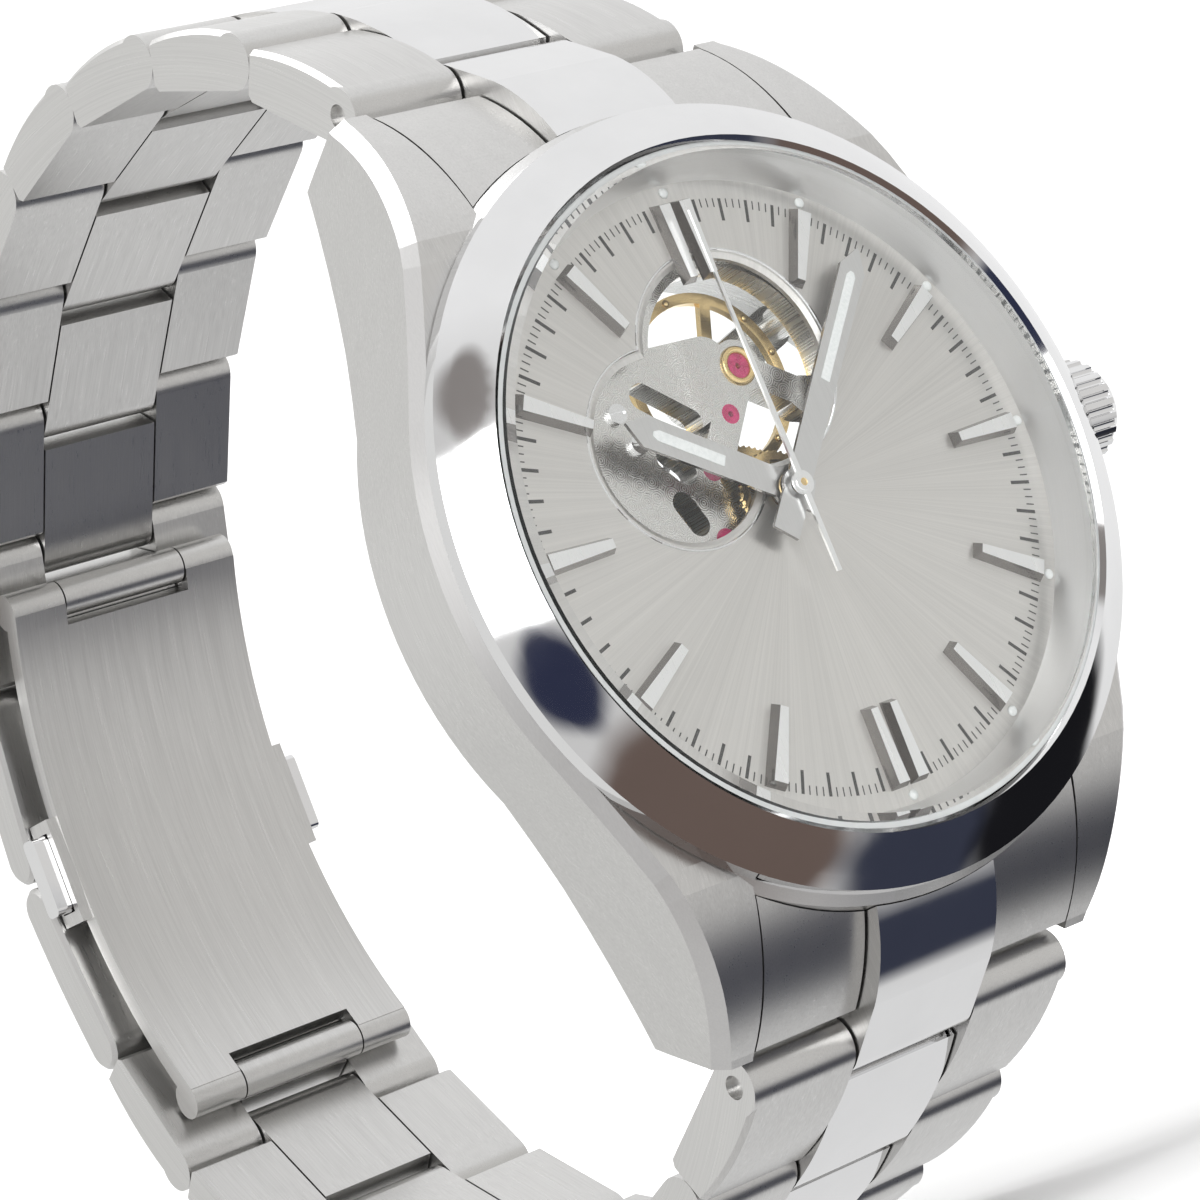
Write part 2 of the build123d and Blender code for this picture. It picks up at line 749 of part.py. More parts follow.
# ================================================================ plates and bridges
FRONT_JEWELS = ((FORK_AT, 0.5), (ESCAPE_AT, 0.55), (THIRD_AT, 0.6), (BALANCE_AT, 0.95))
TRAIN_JEWELS = ((ESCAPE_AT, 0.55), (THIRD_AT, 0.6), (CENTRE, 0.6))
BALANCE_JEWEL = (BALANCE_AT, 0.95)
FORK_JEWEL_R = 0.32
PLATE_SCREWS = ((-6.85, 6.0), (-6.3, 4.35))
BRIDGE_SCREWS = ((-9.6, -5.4), (-10.7, 3.2), (-1.2, -11.2), (7.4, 8.9), (11.0, 2.2))
PLATE_SLOTS = (
    (-3.9, 5.6, 4.2, 1.4, -40),
    (-4.6, 2.9, 2.4, 1.2, -52),
    (-4.9, 0.5, 2.4, 1.2, -70),
    (-1.75, 0.9, 2.4, 1.1, -70),
    (1.4, 3.1, 2.6, 1.7, -65),
)

with BuildPart() as main_plate:
    with BuildSketch(facing(PLATE_BACK)):
        Circle(MOVEMENT_R - 0.02)
    extrude(amount=PLATE_BACK - PLATE_FRONT)
    with BuildSketch(facing(PLATE_FRONT)):
        Circle(MOVEMENT_R - 0.02)
        Circle(12.1, mode=Mode.SUBTRACT)
    extrude(amount=PLATE_FRONT - DIAL_THICK - 0.05)
    with BuildSketch(facing(PLATE_BACK)):
        with Locations(BALANCE_AT):
            Circle(5.1)
    extrude(amount=2, mode=Mode.SUBTRACT)
    add(bar(PLATE_FRONT, PLATE_BACK, (-4.0, 7.2), (-0.6, 7.1), 3.0).part)
    add(bar(PLATE_FRONT, PLATE_BACK, (-2.6, 5.6), BALANCE_AT, 2.7).part)
    add(bar(PLATE_FRONT, PLATE_BACK, (-1.6, 3.2), (0.4, 5.6), 1.7).part)
    add(bar(PLATE_FRONT, PLATE_BACK, BALANCE_AT, (4.6, 4.4), 1.5).part)
    add(bar(PLATE_FRONT, PLATE_BACK, (4.4, 4.5), (6.2, 4.0), 1.9).part)
    with BuildSketch(facing(PLATE_BACK)):
        for x, z, length, height, slope in PLATE_SLOTS:
            with Locations((x, z)):
                SlotOverall(length, height, rotation=slope)
        Circle(TUBE_R + 0.05)
        for (x, z), _ in FRONT_JEWELS:
            with Locations((x, z)):
                Circle(0.2)
        for x, z in PLATE_SCREWS:
            with Locations((x, z)):
                Circle(0.3)
        with Locations(BARREL_AT):
            Circle(0.4)
    extrude(amount=2, mode=Mode.SUBTRACT)
    with BuildSketch(facing(PLATE_FRONT + 0.45)):
        for (x, z), radius in FRONT_JEWELS:
            with Locations((x, z)):
                Circle(radius)
    extrude(amount=1, mode=Mode.SUBTRACT)
    with BuildSketch(facing(PLATE_FRONT)):
        with Locations(MINUTE_WHEEL_AT):
            Circle(0.2)
    extrude(amount=0.7)
    with Locations(Location((9.8, STEM_DEPTH, 0), (0, 90, 0))):
        Cylinder(0.62, 6, align=(Align.CENTER, Align.CENTER, Align.MIN), mode=Mode.SUBTRACT)
save(main_plate.part, "main_plate")


def drill_back_jewels(places):
    """The bridge's jewel seats and pivot holes, for use inside a bridge's own context."""
    for (x, z), radius in places:
        with Locations(Location((x, BRIDGE_BACK - 0.45, z), (90, 0, 0))):
            Cylinder(radius, 1, align=(Align.CENTER, Align.CENTER, Align.MAX), mode=Mode.SUBTRACT)
        with Locations(Location((x, BRIDGE_BACK, z), (90, 0, 0))):
            Cylinder(0.2, 4, mode=Mode.SUBTRACT)


with BuildPart() as train_bridge:
    with BuildSketch(facing(BRIDGE_BACK)):
        Circle(12.3)
        with Locations((2.2, 8.6)):
            Circle(7.2, mode=Mode.SUBTRACT)
        with Locations((-4.5, 9.5)):
            Circle(5.0, mode=Mode.SUBTRACT)
        with Locations((9.5, 6.5)):
            Circle(4.0, mode=Mode.SUBTRACT)
    extrude(amount=BRIDGE_BACK - BRIDGE_FRONT)
    for x, z in BRIDGE_SCREWS[:3] + BRIDGE_SCREWS[4:]:
        add(disc(PLATE_BACK, BRIDGE_FRONT, 0.75, (x, z)).part)
    drill_back_jewels(TRAIN_JEWELS)
    add(disc(PLATE_BACK - 0.3, BRIDGE_FRONT, 0.35, BARREL_AT).part)
    add(disc(2.8, 4.9, 0.8, BARREL_AT).part)
    for x, z in BRIDGE_SCREWS:
        with Locations(Location((x, BRIDGE_BACK, z), (90, 0, 0))):
            Cylinder(0.3, 2, mode=Mode.SUBTRACT)
save(train_bridge.part, "train_bridge")

with BuildPart() as balance_bridge:
    add(bar(BRIDGE_FRONT, BRIDGE_BACK, BALANCE_AT, (7.4, 8.9), 2.2).part)
    add(disc(BRIDGE_FRONT, BRIDGE_BACK, 1.6, BALANCE_AT).part)
    add(disc(PLATE_BACK, BRIDGE_BACK, 0.85, (7.4, 8.9)).part)
    drill_back_jewels([BALANCE_JEWEL])
    with Locations(Location((7.4, BRIDGE_BACK, 8.9), (90, 0, 0))):
        Cylinder(0.3, 2, mode=Mode.SUBTRACT)

with BuildPart() as pallet_bridge:
    add(bar(*PALLET_BRIDGE, PALLET_BRIDGE_FOOT, FORK_AT, 1.0).part)
    add(disc(PLATE_BACK, PALLET_BRIDGE[1], 0.5, PALLET_BRIDGE_FOOT).part)
    with Locations(Location((FORK_AT[0], PALLET_BRIDGE[1], FORK_AT[1]), (90, 0, 0))):
        Cylinder(FORK_JEWEL_R, 1, mode=Mode.SUBTRACT)
group([balance_bridge.part, pallet_bridge.part], "balance_bridge")

with BuildPart() as automatic_bridge:
    add(bar(BRIDGE_BACK, BRIDGE_BACK + 0.3, (-9.8, -1.2), (9.8, -1.2), 3.6).part)
    add(disc(BRIDGE_BACK, BRIDGE_BACK + 0.4, 2.2).part)
    add(disc(BRIDGE_BACK, ROTOR_BACK - 0.1, 0.8).part)
save(automatic_bridge.part, "automatic_bridge")

jewel_solids = []
for (x, z), radius in FRONT_JEWELS:
    jewel_solids.append(disc(PLATE_FRONT, PLATE_FRONT + 0.45, radius, (x, z), bore=JEWEL_BORE_R).part)
for (x, z), radius in (*TRAIN_JEWELS, BALANCE_JEWEL):
    jewel_solids.append(disc(BRIDGE_BACK - 0.45, BRIDGE_BACK, radius, (x, z), bore=JEWEL_BORE_R).part)
jewel_solids.append(disc(*PALLET_BRIDGE, FORK_JEWEL_R, FORK_AT, bore=JEWEL_BORE_R).part)
group(jewel_solids, "jewels")

screw_solids = []
for x, z in PLATE_SCREWS:
    with BuildPart() as screw:
        add(disc(PLATE_FRONT - 0.25, PLATE_FRONT, 0.5, (x, z)).part)
        add(disc(PLATE_FRONT, PLATE_FRONT + 1.0, 0.3, (x, z)).part)
        with Locations((x, PLATE_FRONT - 0.25, z)):
            Box(0.9, 0.2, 0.14, mode=Mode.SUBTRACT)
    screw_solids.append(screw.part)
for x, z in BRIDGE_SCREWS:
    with BuildPart() as screw:
        add(disc(BRIDGE_BACK, BRIDGE_BACK + 0.3, 0.6, (x, z)).part)
        add(disc(BRIDGE_BACK - 0.7, BRIDGE_BACK, 0.3, (x, z)).part)
        with Locations((x, BRIDGE_BACK + 0.3, z)):
            Box(1.1, 0.24, 0.16, mode=Mode.SUBTRACT)
    screw_solids.append(screw.part)
screw_solids.append(disc(ROTOR_BACK - 0.1, ROTOR_BACK + 0.1, 1.3).part)
group(screw_solids, "movement_screws")

with BuildPart() as rotor:
    with BuildSketch(facing(ROTOR_FRONT + 0.3)):
        Circle(ROTOR_R)
        Rectangle(30, 30, align=(Align.CENTER, Align.MIN), mode=Mode.SUBTRACT)
        Circle(2.0)
        Circle(0.85, mode=Mode.SUBTRACT)
        with PolarLocations(6.0, 3, start_angle=-135, angular_range=90, endpoint=True):
            Circle(1.9, mode=Mode.SUBTRACT)
    extrude(amount=0.3)
    with BuildSketch(facing(ROTOR_BACK)):
        Circle(ROTOR_R)
        Circle(9.2, mode=Mode.SUBTRACT)
        Rectangle(30, 30, align=(Align.CENTER, Align.MIN), mode=Mode.SUBTRACT)
    extrude(amount=ROTOR_BACK - ROTOR_FRONT)
    with BuildSketch(facing(ROTOR_BACK - 0.15)):
        Circle(2.0)
        Circle(0.85, mode=Mode.SUBTRACT)
    extrude(amount=ROTOR_BACK - 0.15 - ROTOR_FRONT)
save(rotor.part, "rotor")

# ================================================================ bracelet
def row_plane(end, pin, heading):
    """A row's side-view plane: origin on its first pin, x along the row, y away from the wrist."""
    along = (0, cos(radians(heading)), end * sin(radians(heading)))
    return Plane(origin=(0, pin[0], pin[1]), x_dir=along, z_dir=(end, 0, 0))


def chain(end, heading, bends):
    """Every row's (first pin, heading) from the case out to the clasp, then the last pin."""
    pin = (FIRST_PIN[0], end * FIRST_PIN[1])
    rows = []
    for bend in (0, *bends):
        heading -= bend
        rows.append((pin, heading))
        pin = (pin[0] + PITCH * cos(radians(heading)), pin[1] + end * PITCH * sin(radians(heading)))
    return rows, pin


def outer_outline(last):
    """Side view of an outer link: round at its own hinge, square or round at the far end."""
    far = PITCH if last else PITCH - JOINT_ROOM
    if last:
        Line((0, -LINK_HALF), (far, -LINK_HALF))
        ThreePointArc((far, -LINK_HALF), (far + LINK_HALF, 0), (far, LINK_HALF))
        ThreePointArc((far, LINK_HALF), (far / 2, LINK_HALF + 0.17), (0, LINK_HALF))
    else:
        Line((0, -LINK_HALF), (far - 0.3, -LINK_HALF))
        Line((far - 0.3, -LINK_HALF), (far, -LINK_HALF + 0.3))
        Line((far, -LINK_HALF + 0.3), (far, LINK_HALF - 0.3))
        ThreePointArc((far, LINK_HALF - 0.3), (far * 0.55, LINK_HALF + 0.17), (0, LINK_HALF))
    ThreePointArc((0, LINK_HALF), (-LINK_HALF, 0), (0, -LINK_HALF))


def centre_outline(last):
    """Side view of a centre link: square at its own hinge, round about the next pin."""
    start = JOINT_ROOM
    if last:
        end_x = PITCH - JOINT_ROOM
        Line((start, -LINK_HALF), (end_x, -LINK_HALF))
        Line((end_x, -LINK_HALF), (end_x, LINK_HALF - 0.3))
        ThreePointArc((end_x, LINK_HALF - 0.3), (PITCH / 2, LINK_HALF + 0.12), (start, LINK_HALF - 0.3))
    else:
        Line((start, -LINK_HALF), (PITCH, -LINK_HALF))
        ThreePointArc((PITCH, -LINK_HALF), (PITCH + LINK_HALF, 0), (PITCH, LINK_HALF))
        ThreePointArc((PITCH, LINK_HALF), (PITCH * 0.62, LINK_HALF + 0.17), (start, LINK_HALF - 0.3))
    Line((start, LINK_HALF - 0.3), (start, -LINK_HALF))


def cross_bar(plane, at, radius, half_length):
    """A pin across the bracelet at a point of a side-view plane."""
    with BuildPart() as piece:
        with BuildSketch(plane):
            with Locations(at):
                Circle(radius)
        extrude(amount=half_length, both=True)
    return piece


def bracelet_row(end, index, pin, heading):
    """Two outer links, the centre link between them, their tie rod and the row's hinge pin."""
    plane = row_plane(end, pin, heading)
    last = index == ROWS
    half_w = (WIDTH_AT_CASE - (WIDTH_AT_CASE - WIDTH_AT_CLASP) * (index - 1) / (ROWS - 1)) / 2
    bars = [((0, 0), PIN_R, half_w - (PIN_RECESS if index == 1 else 0.9))]
    bars.append(((PITCH / 2, 0), ROD_R, half_w - 1.2))
    if last:
        bars.append(((PITCH, 0), PIN_R, half_w - 0.9))
    with BuildPart() as outers:
        with BuildSketch(plane):
            with BuildLine():
                outer_outline(last)
            make_face()
        extrude(amount=half_w, both=True)
        for face in (outers.faces().sort_by(Axis.X)[0], outers.faces().sort_by(Axis.X)[-1]):
            chamfer(face.edges().filter_by(GeomType.CIRCLE).sort_by(SortBy.LENGTH)[-1], OUTER_BEVEL)
        with BuildSketch(plane):
            Rectangle(4 * PITCH, 4 * LINK_HALF)
        extrude(amount=CENTRE_HALF_W + SEAM, both=True, mode=Mode.SUBTRACT)
        for at, radius, half_length in bars:
            add(cross_bar(plane, at, radius, half_length).part, mode=Mode.SUBTRACT)
        if index == 1:
            add(cross_bar(plane, (0, 0), PIN_R, half_w).part, mode=Mode.SUBTRACT)
    with BuildPart() as centre:
        with BuildSketch(plane):
            with BuildLine():
                centre_outline(last)
            make_face()
            with Locations((PITCH / 2, 0)):
                Circle(ROD_R, mode=Mode.SUBTRACT)
            if not last:
                with Locations((PITCH, 0)):
                    Circle(PIN_BORE_R, mode=Mode.SUBTRACT)
        extrude(amount=CENTRE_HALF_W - SEAM, both=True)
    solids = [outers.part, centre.part]
    for at, radius, half_length in bars:
        solids.append(cross_bar(plane, at, radius, half_length).part)
    return solids


def bends_of(first, step):
    """The bend at each pin from the case out; the clasp's rows all share one bend."""
    return [first + step * index for index in range(ROWS - 3)] + [BEND_CLASP, BEND_CLASP]


rows_12, last_pin_12 = chain(1, HEADING_12, bends_of(BEND_12, BEND_12_STEP))
rows_6, last_pin_6 = chain(-1, HEADING_6, bends_of(BEND_6, BEND_6_STEP))
for end, name, rows in ((1, "12", rows_12), (-1, "6", rows_6)):
    for index, (pin, heading) in enumerate(rows, start=1):
        group(bracelet_row(end, index, pin, heading), f"link_{name}_{index}")


def end_link(end):
    """The fixed link between two lugs, hollowed to the round case, with the first hinge's knuckle."""
    side_view = Plane(origin=(0, 0, 0), x_dir=(0, 1, 0), z_dir=(end, 0, 0))
    pin_y, pin_z = FIRST_PIN
    with BuildPart() as piece:
        with BuildSketch(side_view):
            with BuildLine():
                Line((END_LINK_BACK, LUG_ROOT_Z), (CASE_FRONT + 0.1, LUG_ROOT_Z))
                ThreePointArc((CASE_FRONT + 0.1, LUG_ROOT_Z), LUG_CREST, LUG_FRONT_END)
                Line(LUG_FRONT_END, (6.2, 23.75))
                Line((6.2, 23.75), (7.2, 22.9))
                Line((7.2, 22.9), (7.0, 20.4))
                Line((7.0, 20.4), (END_LINK_BACK, 18.6))
                Line((END_LINK_BACK, 18.6), (END_LINK_BACK, LUG_ROOT_Z))
            make_face()
            with Locations(FIRST_PIN):
                Circle(JOINT_ROOM, mode=Mode.SUBTRACT)
        extrude(amount=LUG_INNER_X - 0.1, both=True)
        with BuildSketch(side_view):
            with BuildLine():
                ThreePointArc(CENTRE_FRONT_START, CENTRE_FRONT_MID, CENTRE_FRONT_END)
                Polyline(
                    CENTRE_FRONT_END,
                    (pin_y - 0.8, pin_z + 1.21),
                    FIRST_PIN,
                    (pin_y + 0.96, pin_z - 1.086),
                    (7.0, 21.4),
                    (END_LINK_BACK, 18.9),
                    CENTRE_FRONT_START,
                )
            make_face()
            with Locations(FIRST_PIN):
                Circle(LINK_HALF)
                Circle(PIN_BORE_R, mode=Mode.SUBTRACT)
        extrude(amount=CENTRE_HALF_W - SEAM, both=True)
        with BuildSketch(facing(12)):
            Circle(CASE_R + 0.05)
        extrude(amount=20, mode=Mode.SUBTRACT)
        for side in (1, -1):
            with Locations((side * CENTRE_HALF_W, SEAM_MIDDLE, end * 21)):
                Box(2 * SEAM, SEAM_DEPTH, 12, mode=Mode.SUBTRACT)
        with Locations(Location((0, SPRING_BAR_AT[0], end * SPRING_BAR_AT[1]), (0, 90, 0))):
            Cylinder(SPRING_BAR_R + 0.05, 30, mode=Mode.SUBTRACT)
    return piece


spring_bars = []
for end, name in ((1, "12"), (-1, "6")):
    save(end_link(end).part, f"end_link_{name}")
    with BuildPart() as spring_bar:
        with Locations(Location((0, SPRING_BAR_AT[0], end * SPRING_BAR_AT[1]), (0, 90, 0))):
            Cylinder(SPRING_BAR_R, 2 * 11.4)
    spring_bars.append(spring_bar.part)
group(spring_bars, "spring_bars")

# ================================================================ clasp
clasp_pin, clasp_row_heading = rows_12[-1]
middle_turn = degrees(asin(between(last_pin_12, last_pin_6) / 2 / hypot(CLASP_RADIUS, PITCH / 2)))
row_turn = BEND_CLASP / 2
clasp_heading = clasp_row_heading - row_turn - middle_turn
along = (cos(radians(clasp_row_heading)), sin(radians(clasp_row_heading)))
clasp_centre = (
    clasp_pin[0] + PITCH / 2 * along[0] + CLASP_RADIUS * along[1],
    clasp_pin[1] + PITCH / 2 * along[1] - CLASP_RADIUS * along[0],
)
clasp_plane = Plane(
    origin=(0, *clasp_centre),
    x_dir=(0, cos(radians(clasp_heading)), sin(radians(clasp_heading))),
    z_dir=(1, 0, 0),
)


def on_clasp(radius, angle):
    """A point of the clasp's side view; positive angles lie on the 6 o'clock side."""
    return radius * sin(radians(angle)), radius * cos(radians(angle))


def curved_strip(inner, outer, start, stop, half_w, inside=0):
    """A curved leaf between two radii and two angles, left open up to |x| = inside."""
    middle = (start + stop) / 2
    with BuildPart() as piece:
        with BuildSketch(clasp_plane):
            with BuildLine():
                ThreePointArc(on_clasp(outer, start), on_clasp(outer, middle), on_clasp(outer, stop))
                Line(on_clasp(outer, stop), on_clasp(inner, stop))
                ThreePointArc(on_clasp(inner, stop), on_clasp(inner, middle), on_clasp(inner, start))
                Line(on_clasp(inner, start), on_clasp(outer, start))
            make_face()
        extrude(amount=half_w, both=True)
        if inside:
            with BuildSketch(clasp_plane):
                Rectangle(200, 200)
            extrude(amount=inside, both=True, mode=Mode.SUBTRACT)
    return piece


def clasp_barrel(angle, radius, half_w, bore, inside=0):
    """A hinge barrel across the clasp at one end of its plate."""
    with BuildPart() as piece:
        with BuildSketch(clasp_plane):
            with Locations(on_clasp(KNUCKLE_AT, angle)):
                Circle(radius)
                if bore:
                    Circle(bore, mode=Mode.SUBTRACT)
        extrude(amount=half_w, both=True)
        if inside:
            with BuildSketch(clasp_plane):
                Rectangle(200, 200)
            extrude(amount=inside, both=True, mode=Mode.SUBTRACT)
    return piece


def clasp_arm(side, stop, with_barrel):
    """A folding arm: its knuckle on the last row's pin, a curved leaf and a barrel at the plate."""
    pin_angle = side * middle_turn
    pin_radius = hypot(CLASP_RADIUS, PITCH / 2)
    with BuildPart() as arm:
        add(curved_strip(BLADE_IN, BLADE_OUT, side * 1.2, side * BLADE_STOP, BLADE_HALF_W).part)
        add(curved_strip(BLADE_IN, BLADE_OUT, side * BLADE_STOP, side * stop, KNUCKLE_HALF_W).part)
        if with_barrel:
            add(clasp_barrel(side * CLASP_ANGLE, KNUCKLE_R, KNUCKLE_HALF_W, 0).part)
        with BuildSketch(clasp_plane):
            with Locations(Location(on_clasp(33.2, pin_angle), -pin_angle)):
                Rectangle(2.3, 2.6)
            with Locations(on_clasp(pin_radius, pin_angle)):
                Circle(1.3)
                Circle(PIN_BORE_R, mode=Mode.SUBTRACT)
        extrude(amount=ARM_KNUCKLE_HALF_W, both=True)
        add(clasp_barrel(side * CLASP_ANGLE, KNUCKLE_PIN_R + 0.05, 20, 0).part, mode=Mode.SUBTRACT)
    return arm


save(clasp_arm(-1, CLASP_ANGLE, True).part, "clasp_arm_12")
save(clasp_arm(1, CLASP_ANGLE - 2.3, False).part, "clasp_arm_6")

with BuildPart() as plate:
    add(curved_strip(PLATE_IN, PLATE_OUT, -BLADE_STOP, BLADE_STOP, CLASP_HALF_W).part)
    for side in (-1, 1):
        near = side * (BLADE_STOP - 0.1)
        far = side * CLASP_ANGLE
        tab = curved_strip(PLATE_IN, PLATE_OUT, near, far, CLASP_HALF_W, KNUCKLE_HALF_W + 0.1)
        add(tab.part)
        barrel = clasp_barrel(far, KNUCKLE_R, CLASP_HALF_W, 0, KNUCKLE_HALF_W + 0.1)
        add(barrel.part)
        add(clasp_barrel(far, KNUCKLE_PIN_R, 20, 0).part, mode=Mode.SUBTRACT)
    for side in (-1, 1):
        with BuildSketch(clasp_plane.offset(side * BUTTON_HOUSING_X)):
            with Locations((0, (PLATE_IN + BLADE_OUT) / 2)):
                Rectangle(BUTTON_HOUSING_LENGTH, BLADE_OUT - PLATE_IN)
        extrude(amount=side * (BUTTON_HOUSING_OUT - BUTTON_HOUSING_X))
        with BuildSketch(clasp_plane.offset(side * BUTTON_POCKET_X)):
            with Locations((0, BUTTON_MIDDLE)):
                Rectangle(*BUTTON_POCKET)
        extrude(amount=side * 6, mode=Mode.SUBTRACT)
plate_solids = [plate.part]
for side in (-1, 1):
    plate_solids.append(clasp_barrel(side * CLASP_ANGLE, KNUCKLE_PIN_R, CLASP_HALF_W, 0).part)
plate_solids.append(clasp_barrel(CLASP_ANGLE, KNUCKLE_R, KNUCKLE_HALF_W, KNUCKLE_PIN_R + 0.05).part)
group(plate_solids, "clasp_plate")

for side, name in ((-1, "left"), (1, "right")):
    with BuildPart() as button:
        with BuildSketch(clasp_plane.offset(side * BUTTON_INNER_X)):
            with Locations((0, BUTTON_MIDDLE)):
                RectangleRounded(*BUTTON_SIZE, 0.4)
        extrude(amount=side * BUTTON_LENGTH)
    save(button.part, f"clasp_button_{name}")
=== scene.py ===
"""Looks for the open-heart wristwatch.

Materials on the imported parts, fine printed and set detail, light and camera.
"""

from math import acos, atan2, cos, hypot, pi, radians, sin

import bmesh
import bpy
from mathutils import Matrix, Vector


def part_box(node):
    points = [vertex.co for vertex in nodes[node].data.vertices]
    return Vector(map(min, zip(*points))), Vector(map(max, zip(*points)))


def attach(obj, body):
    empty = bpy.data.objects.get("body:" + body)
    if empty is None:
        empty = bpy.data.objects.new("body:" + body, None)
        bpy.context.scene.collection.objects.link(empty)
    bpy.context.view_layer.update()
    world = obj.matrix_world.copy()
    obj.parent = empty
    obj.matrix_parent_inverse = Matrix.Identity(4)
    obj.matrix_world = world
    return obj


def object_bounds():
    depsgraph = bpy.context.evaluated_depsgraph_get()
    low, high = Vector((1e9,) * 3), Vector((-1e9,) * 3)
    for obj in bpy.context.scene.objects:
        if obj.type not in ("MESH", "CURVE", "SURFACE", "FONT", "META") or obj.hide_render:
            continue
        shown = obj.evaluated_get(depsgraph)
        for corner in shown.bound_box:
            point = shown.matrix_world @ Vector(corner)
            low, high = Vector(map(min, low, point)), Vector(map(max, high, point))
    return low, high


MM = 0.001

# ---------------------------------------------------------------- the dial's own dimensions, in mm
LOBE_12 = (0.3, 6.75, 5.25)
LOBE_9 = (-5.05, 3.45, 4.6)
HOUR_ANGLE = 303.5
MINUTE_ANGLE = 42.0
TICK_OUTER = 14.95
LONG_TICK_INNER = 13.8
SHORT_TICK_INNER = 14.5
TICKS_PER_MINUTE = 4
TICK_FRONT = -0.012
TICK_BACK = 0.01
LONG_TICK_HALF = 0.085
SHORT_TICK_HALF = 0.03
DOT_RING_R = 15.5
DOT_R = 0.27
DOT_HEIGHT = 0.16
DOUBLE_MARKER_HALF_ANGLE = 4.6
MARKER_HALF_ANGLE = 2.6

# ---------------------------------------------------------------- luminous strips, in mm:
# inner end, outer end and width
HOUR_LUME = (3.9, 7.9, 0.55)
MINUTE_LUME = (6.0, 12.4, 0.5)
LUME_PROUD = 0.03
LUME_SUNK = 0.05
LUME_TIP_SHARE = 0.4

# ---------------------------------------------------------------- balance, in mm and degrees
BALANCE_AT = (1.2, 6.7)
BALANCE_R = 4.7
BALANCE_TURN = 22.0
BALANCE_RIM_FRONT = 3.62
SETTING_R = 0.82
SETTING_THICK = 0.2
SETTING_DEPTH = 1.2
WEIGHT_R = 0.2
WEIGHT_HEIGHT = 0.16
WEIGHT_INSET = 0.28
WEIGHT_SPREAD = 14

# ---------------------------------------------------------------- bracelet loop, in mm
LOOP_CENTRE = (33.4, 0.0)

# ---------------------------------------------------------------- mean radii of grain, in metres
LOOP_MEAN_R = 0.034
RING_MEAN_R = 0.015

# ---------------------------------------------------------------- camera, in mm
CAMERA_AT = (-119.3, -142.1, -21.2)
CAMERA_FORWARD = (0.59809, 0.79432, 0.10649)
CAMERA_UP = (0.24375, -0.30687, 0.92001)
CAMERA_LENS = 118.05

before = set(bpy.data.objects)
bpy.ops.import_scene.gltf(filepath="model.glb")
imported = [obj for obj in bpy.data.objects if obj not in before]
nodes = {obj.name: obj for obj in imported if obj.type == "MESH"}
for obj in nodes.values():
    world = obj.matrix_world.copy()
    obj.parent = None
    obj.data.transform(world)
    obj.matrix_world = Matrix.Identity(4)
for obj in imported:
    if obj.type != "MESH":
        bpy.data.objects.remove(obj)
cad_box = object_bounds()


# ================================================================ node helpers
def new_material(name):
    """A node material with its Principled shader, ready to be wired."""
    material = bpy.data.materials.new(name)
    material.use_nodes = True
    shader = material.node_tree.nodes["Principled BSDF"]
    return material, material.node_tree, shader


def add_node(tree, kind, **values):
    """One node with plain attributes set."""
    node = tree.nodes.new(kind)
    for key, value in values.items():
        setattr(node, key, value)
    return node


def math_node(tree, operation, first, second=None, clamp=False):
    """A Math node on two inputs, each a socket or a number; returns its output."""
    node = add_node(tree, "ShaderNodeMath", operation=operation, use_clamp=clamp)
    for socket, value in zip(node.inputs, (first, second)):
        if value is None:
            continue
        if isinstance(value, (int, float)):
            socket.default_value = value
        else:
            tree.links.new(value, socket)
    return node.outputs[0]


def object_axes(tree):
    """The x, y and z sockets of the piece's own coordinates, in metres."""
    coordinates = add_node(tree, "ShaderNodeTexCoord")
    split = add_node(tree, "ShaderNodeSeparateXYZ")
    tree.links.new(coordinates.outputs["Object"], split.inputs[0])
    return split.outputs


def joined_vector(tree, x, y, z):
    """A vector from three sockets or numbers."""
    node = add_node(tree, "ShaderNodeCombineXYZ")
    for socket, value in zip(node.inputs, (x, y, z)):
        if isinstance(value, (int, float)):
            socket.default_value = value
        else:
            tree.links.new(value, socket)
    return node.outputs[0]


def noise(tree, vector, scale, detail=3.0, roughness=0.6):
    """A noise texture's grey output."""
    node = add_node(tree, "ShaderNodeTexNoise")
    node.inputs["Scale"].default_value = scale
    node.inputs["Detail"].default_value = detail
    node.inputs["Roughness"].default_value = roughness
    tree.links.new(vector, node.inputs["Vector"])
    return node.outputs[0]


def weighted_sum(tree, first, first_share, second, second_share):
    """Two sockets mixed by fixed shares."""
    first_part = math_node(tree, "MULTIPLY", first, first_share)
    second_part = math_node(tree, "MULTIPLY", second, second_share)
    return math_node(tree, "ADD", first_part, second_part)


def ramp(tree, factor, stops):
    """A colour ramp; stops are (place, grey or colour)."""
    node = add_node(tree, "ShaderNodeValToRGB")
    elements = node.color_ramp.elements
    while len(elements) < len(stops):
        elements.new(0.5)
    for element, (place, colour) in zip(elements, stops):
        element.position = place
        if isinstance(colour, (int, float)):
            colour = (colour, colour, colour)
        element.color = (*colour, 1.0)
    tree.links.new(factor, node.inputs[0])
    return node.outputs[0]


def tinted(colour, factor):
    """A colour made lighter or darker."""
    return tuple(min(1.0, channel * factor) for channel in colour)


def bump(tree, shader, height, distance, strength=1.0):
    """Wire a height into the shader's normal; distance is in mm."""
    node = add_node(tree, "ShaderNodeBump")
    node.inputs["Distance"].default_value = distance * MM
    node.inputs["Strength"].default_value = strength
    tree.links.new(height, node.inputs["Height"])
    tree.links.new(node.outputs["Normal"], shader.inputs["Normal"])


def set_metal(shader, colour, roughness):
    """Plain metal values on a Principled shader."""
    shader.inputs["Base Color"].default_value = (*colour, 1.0)
    shader.inputs["Metallic"].default_value = 1.0
    shader.inputs["Roughness"].default_value = roughness


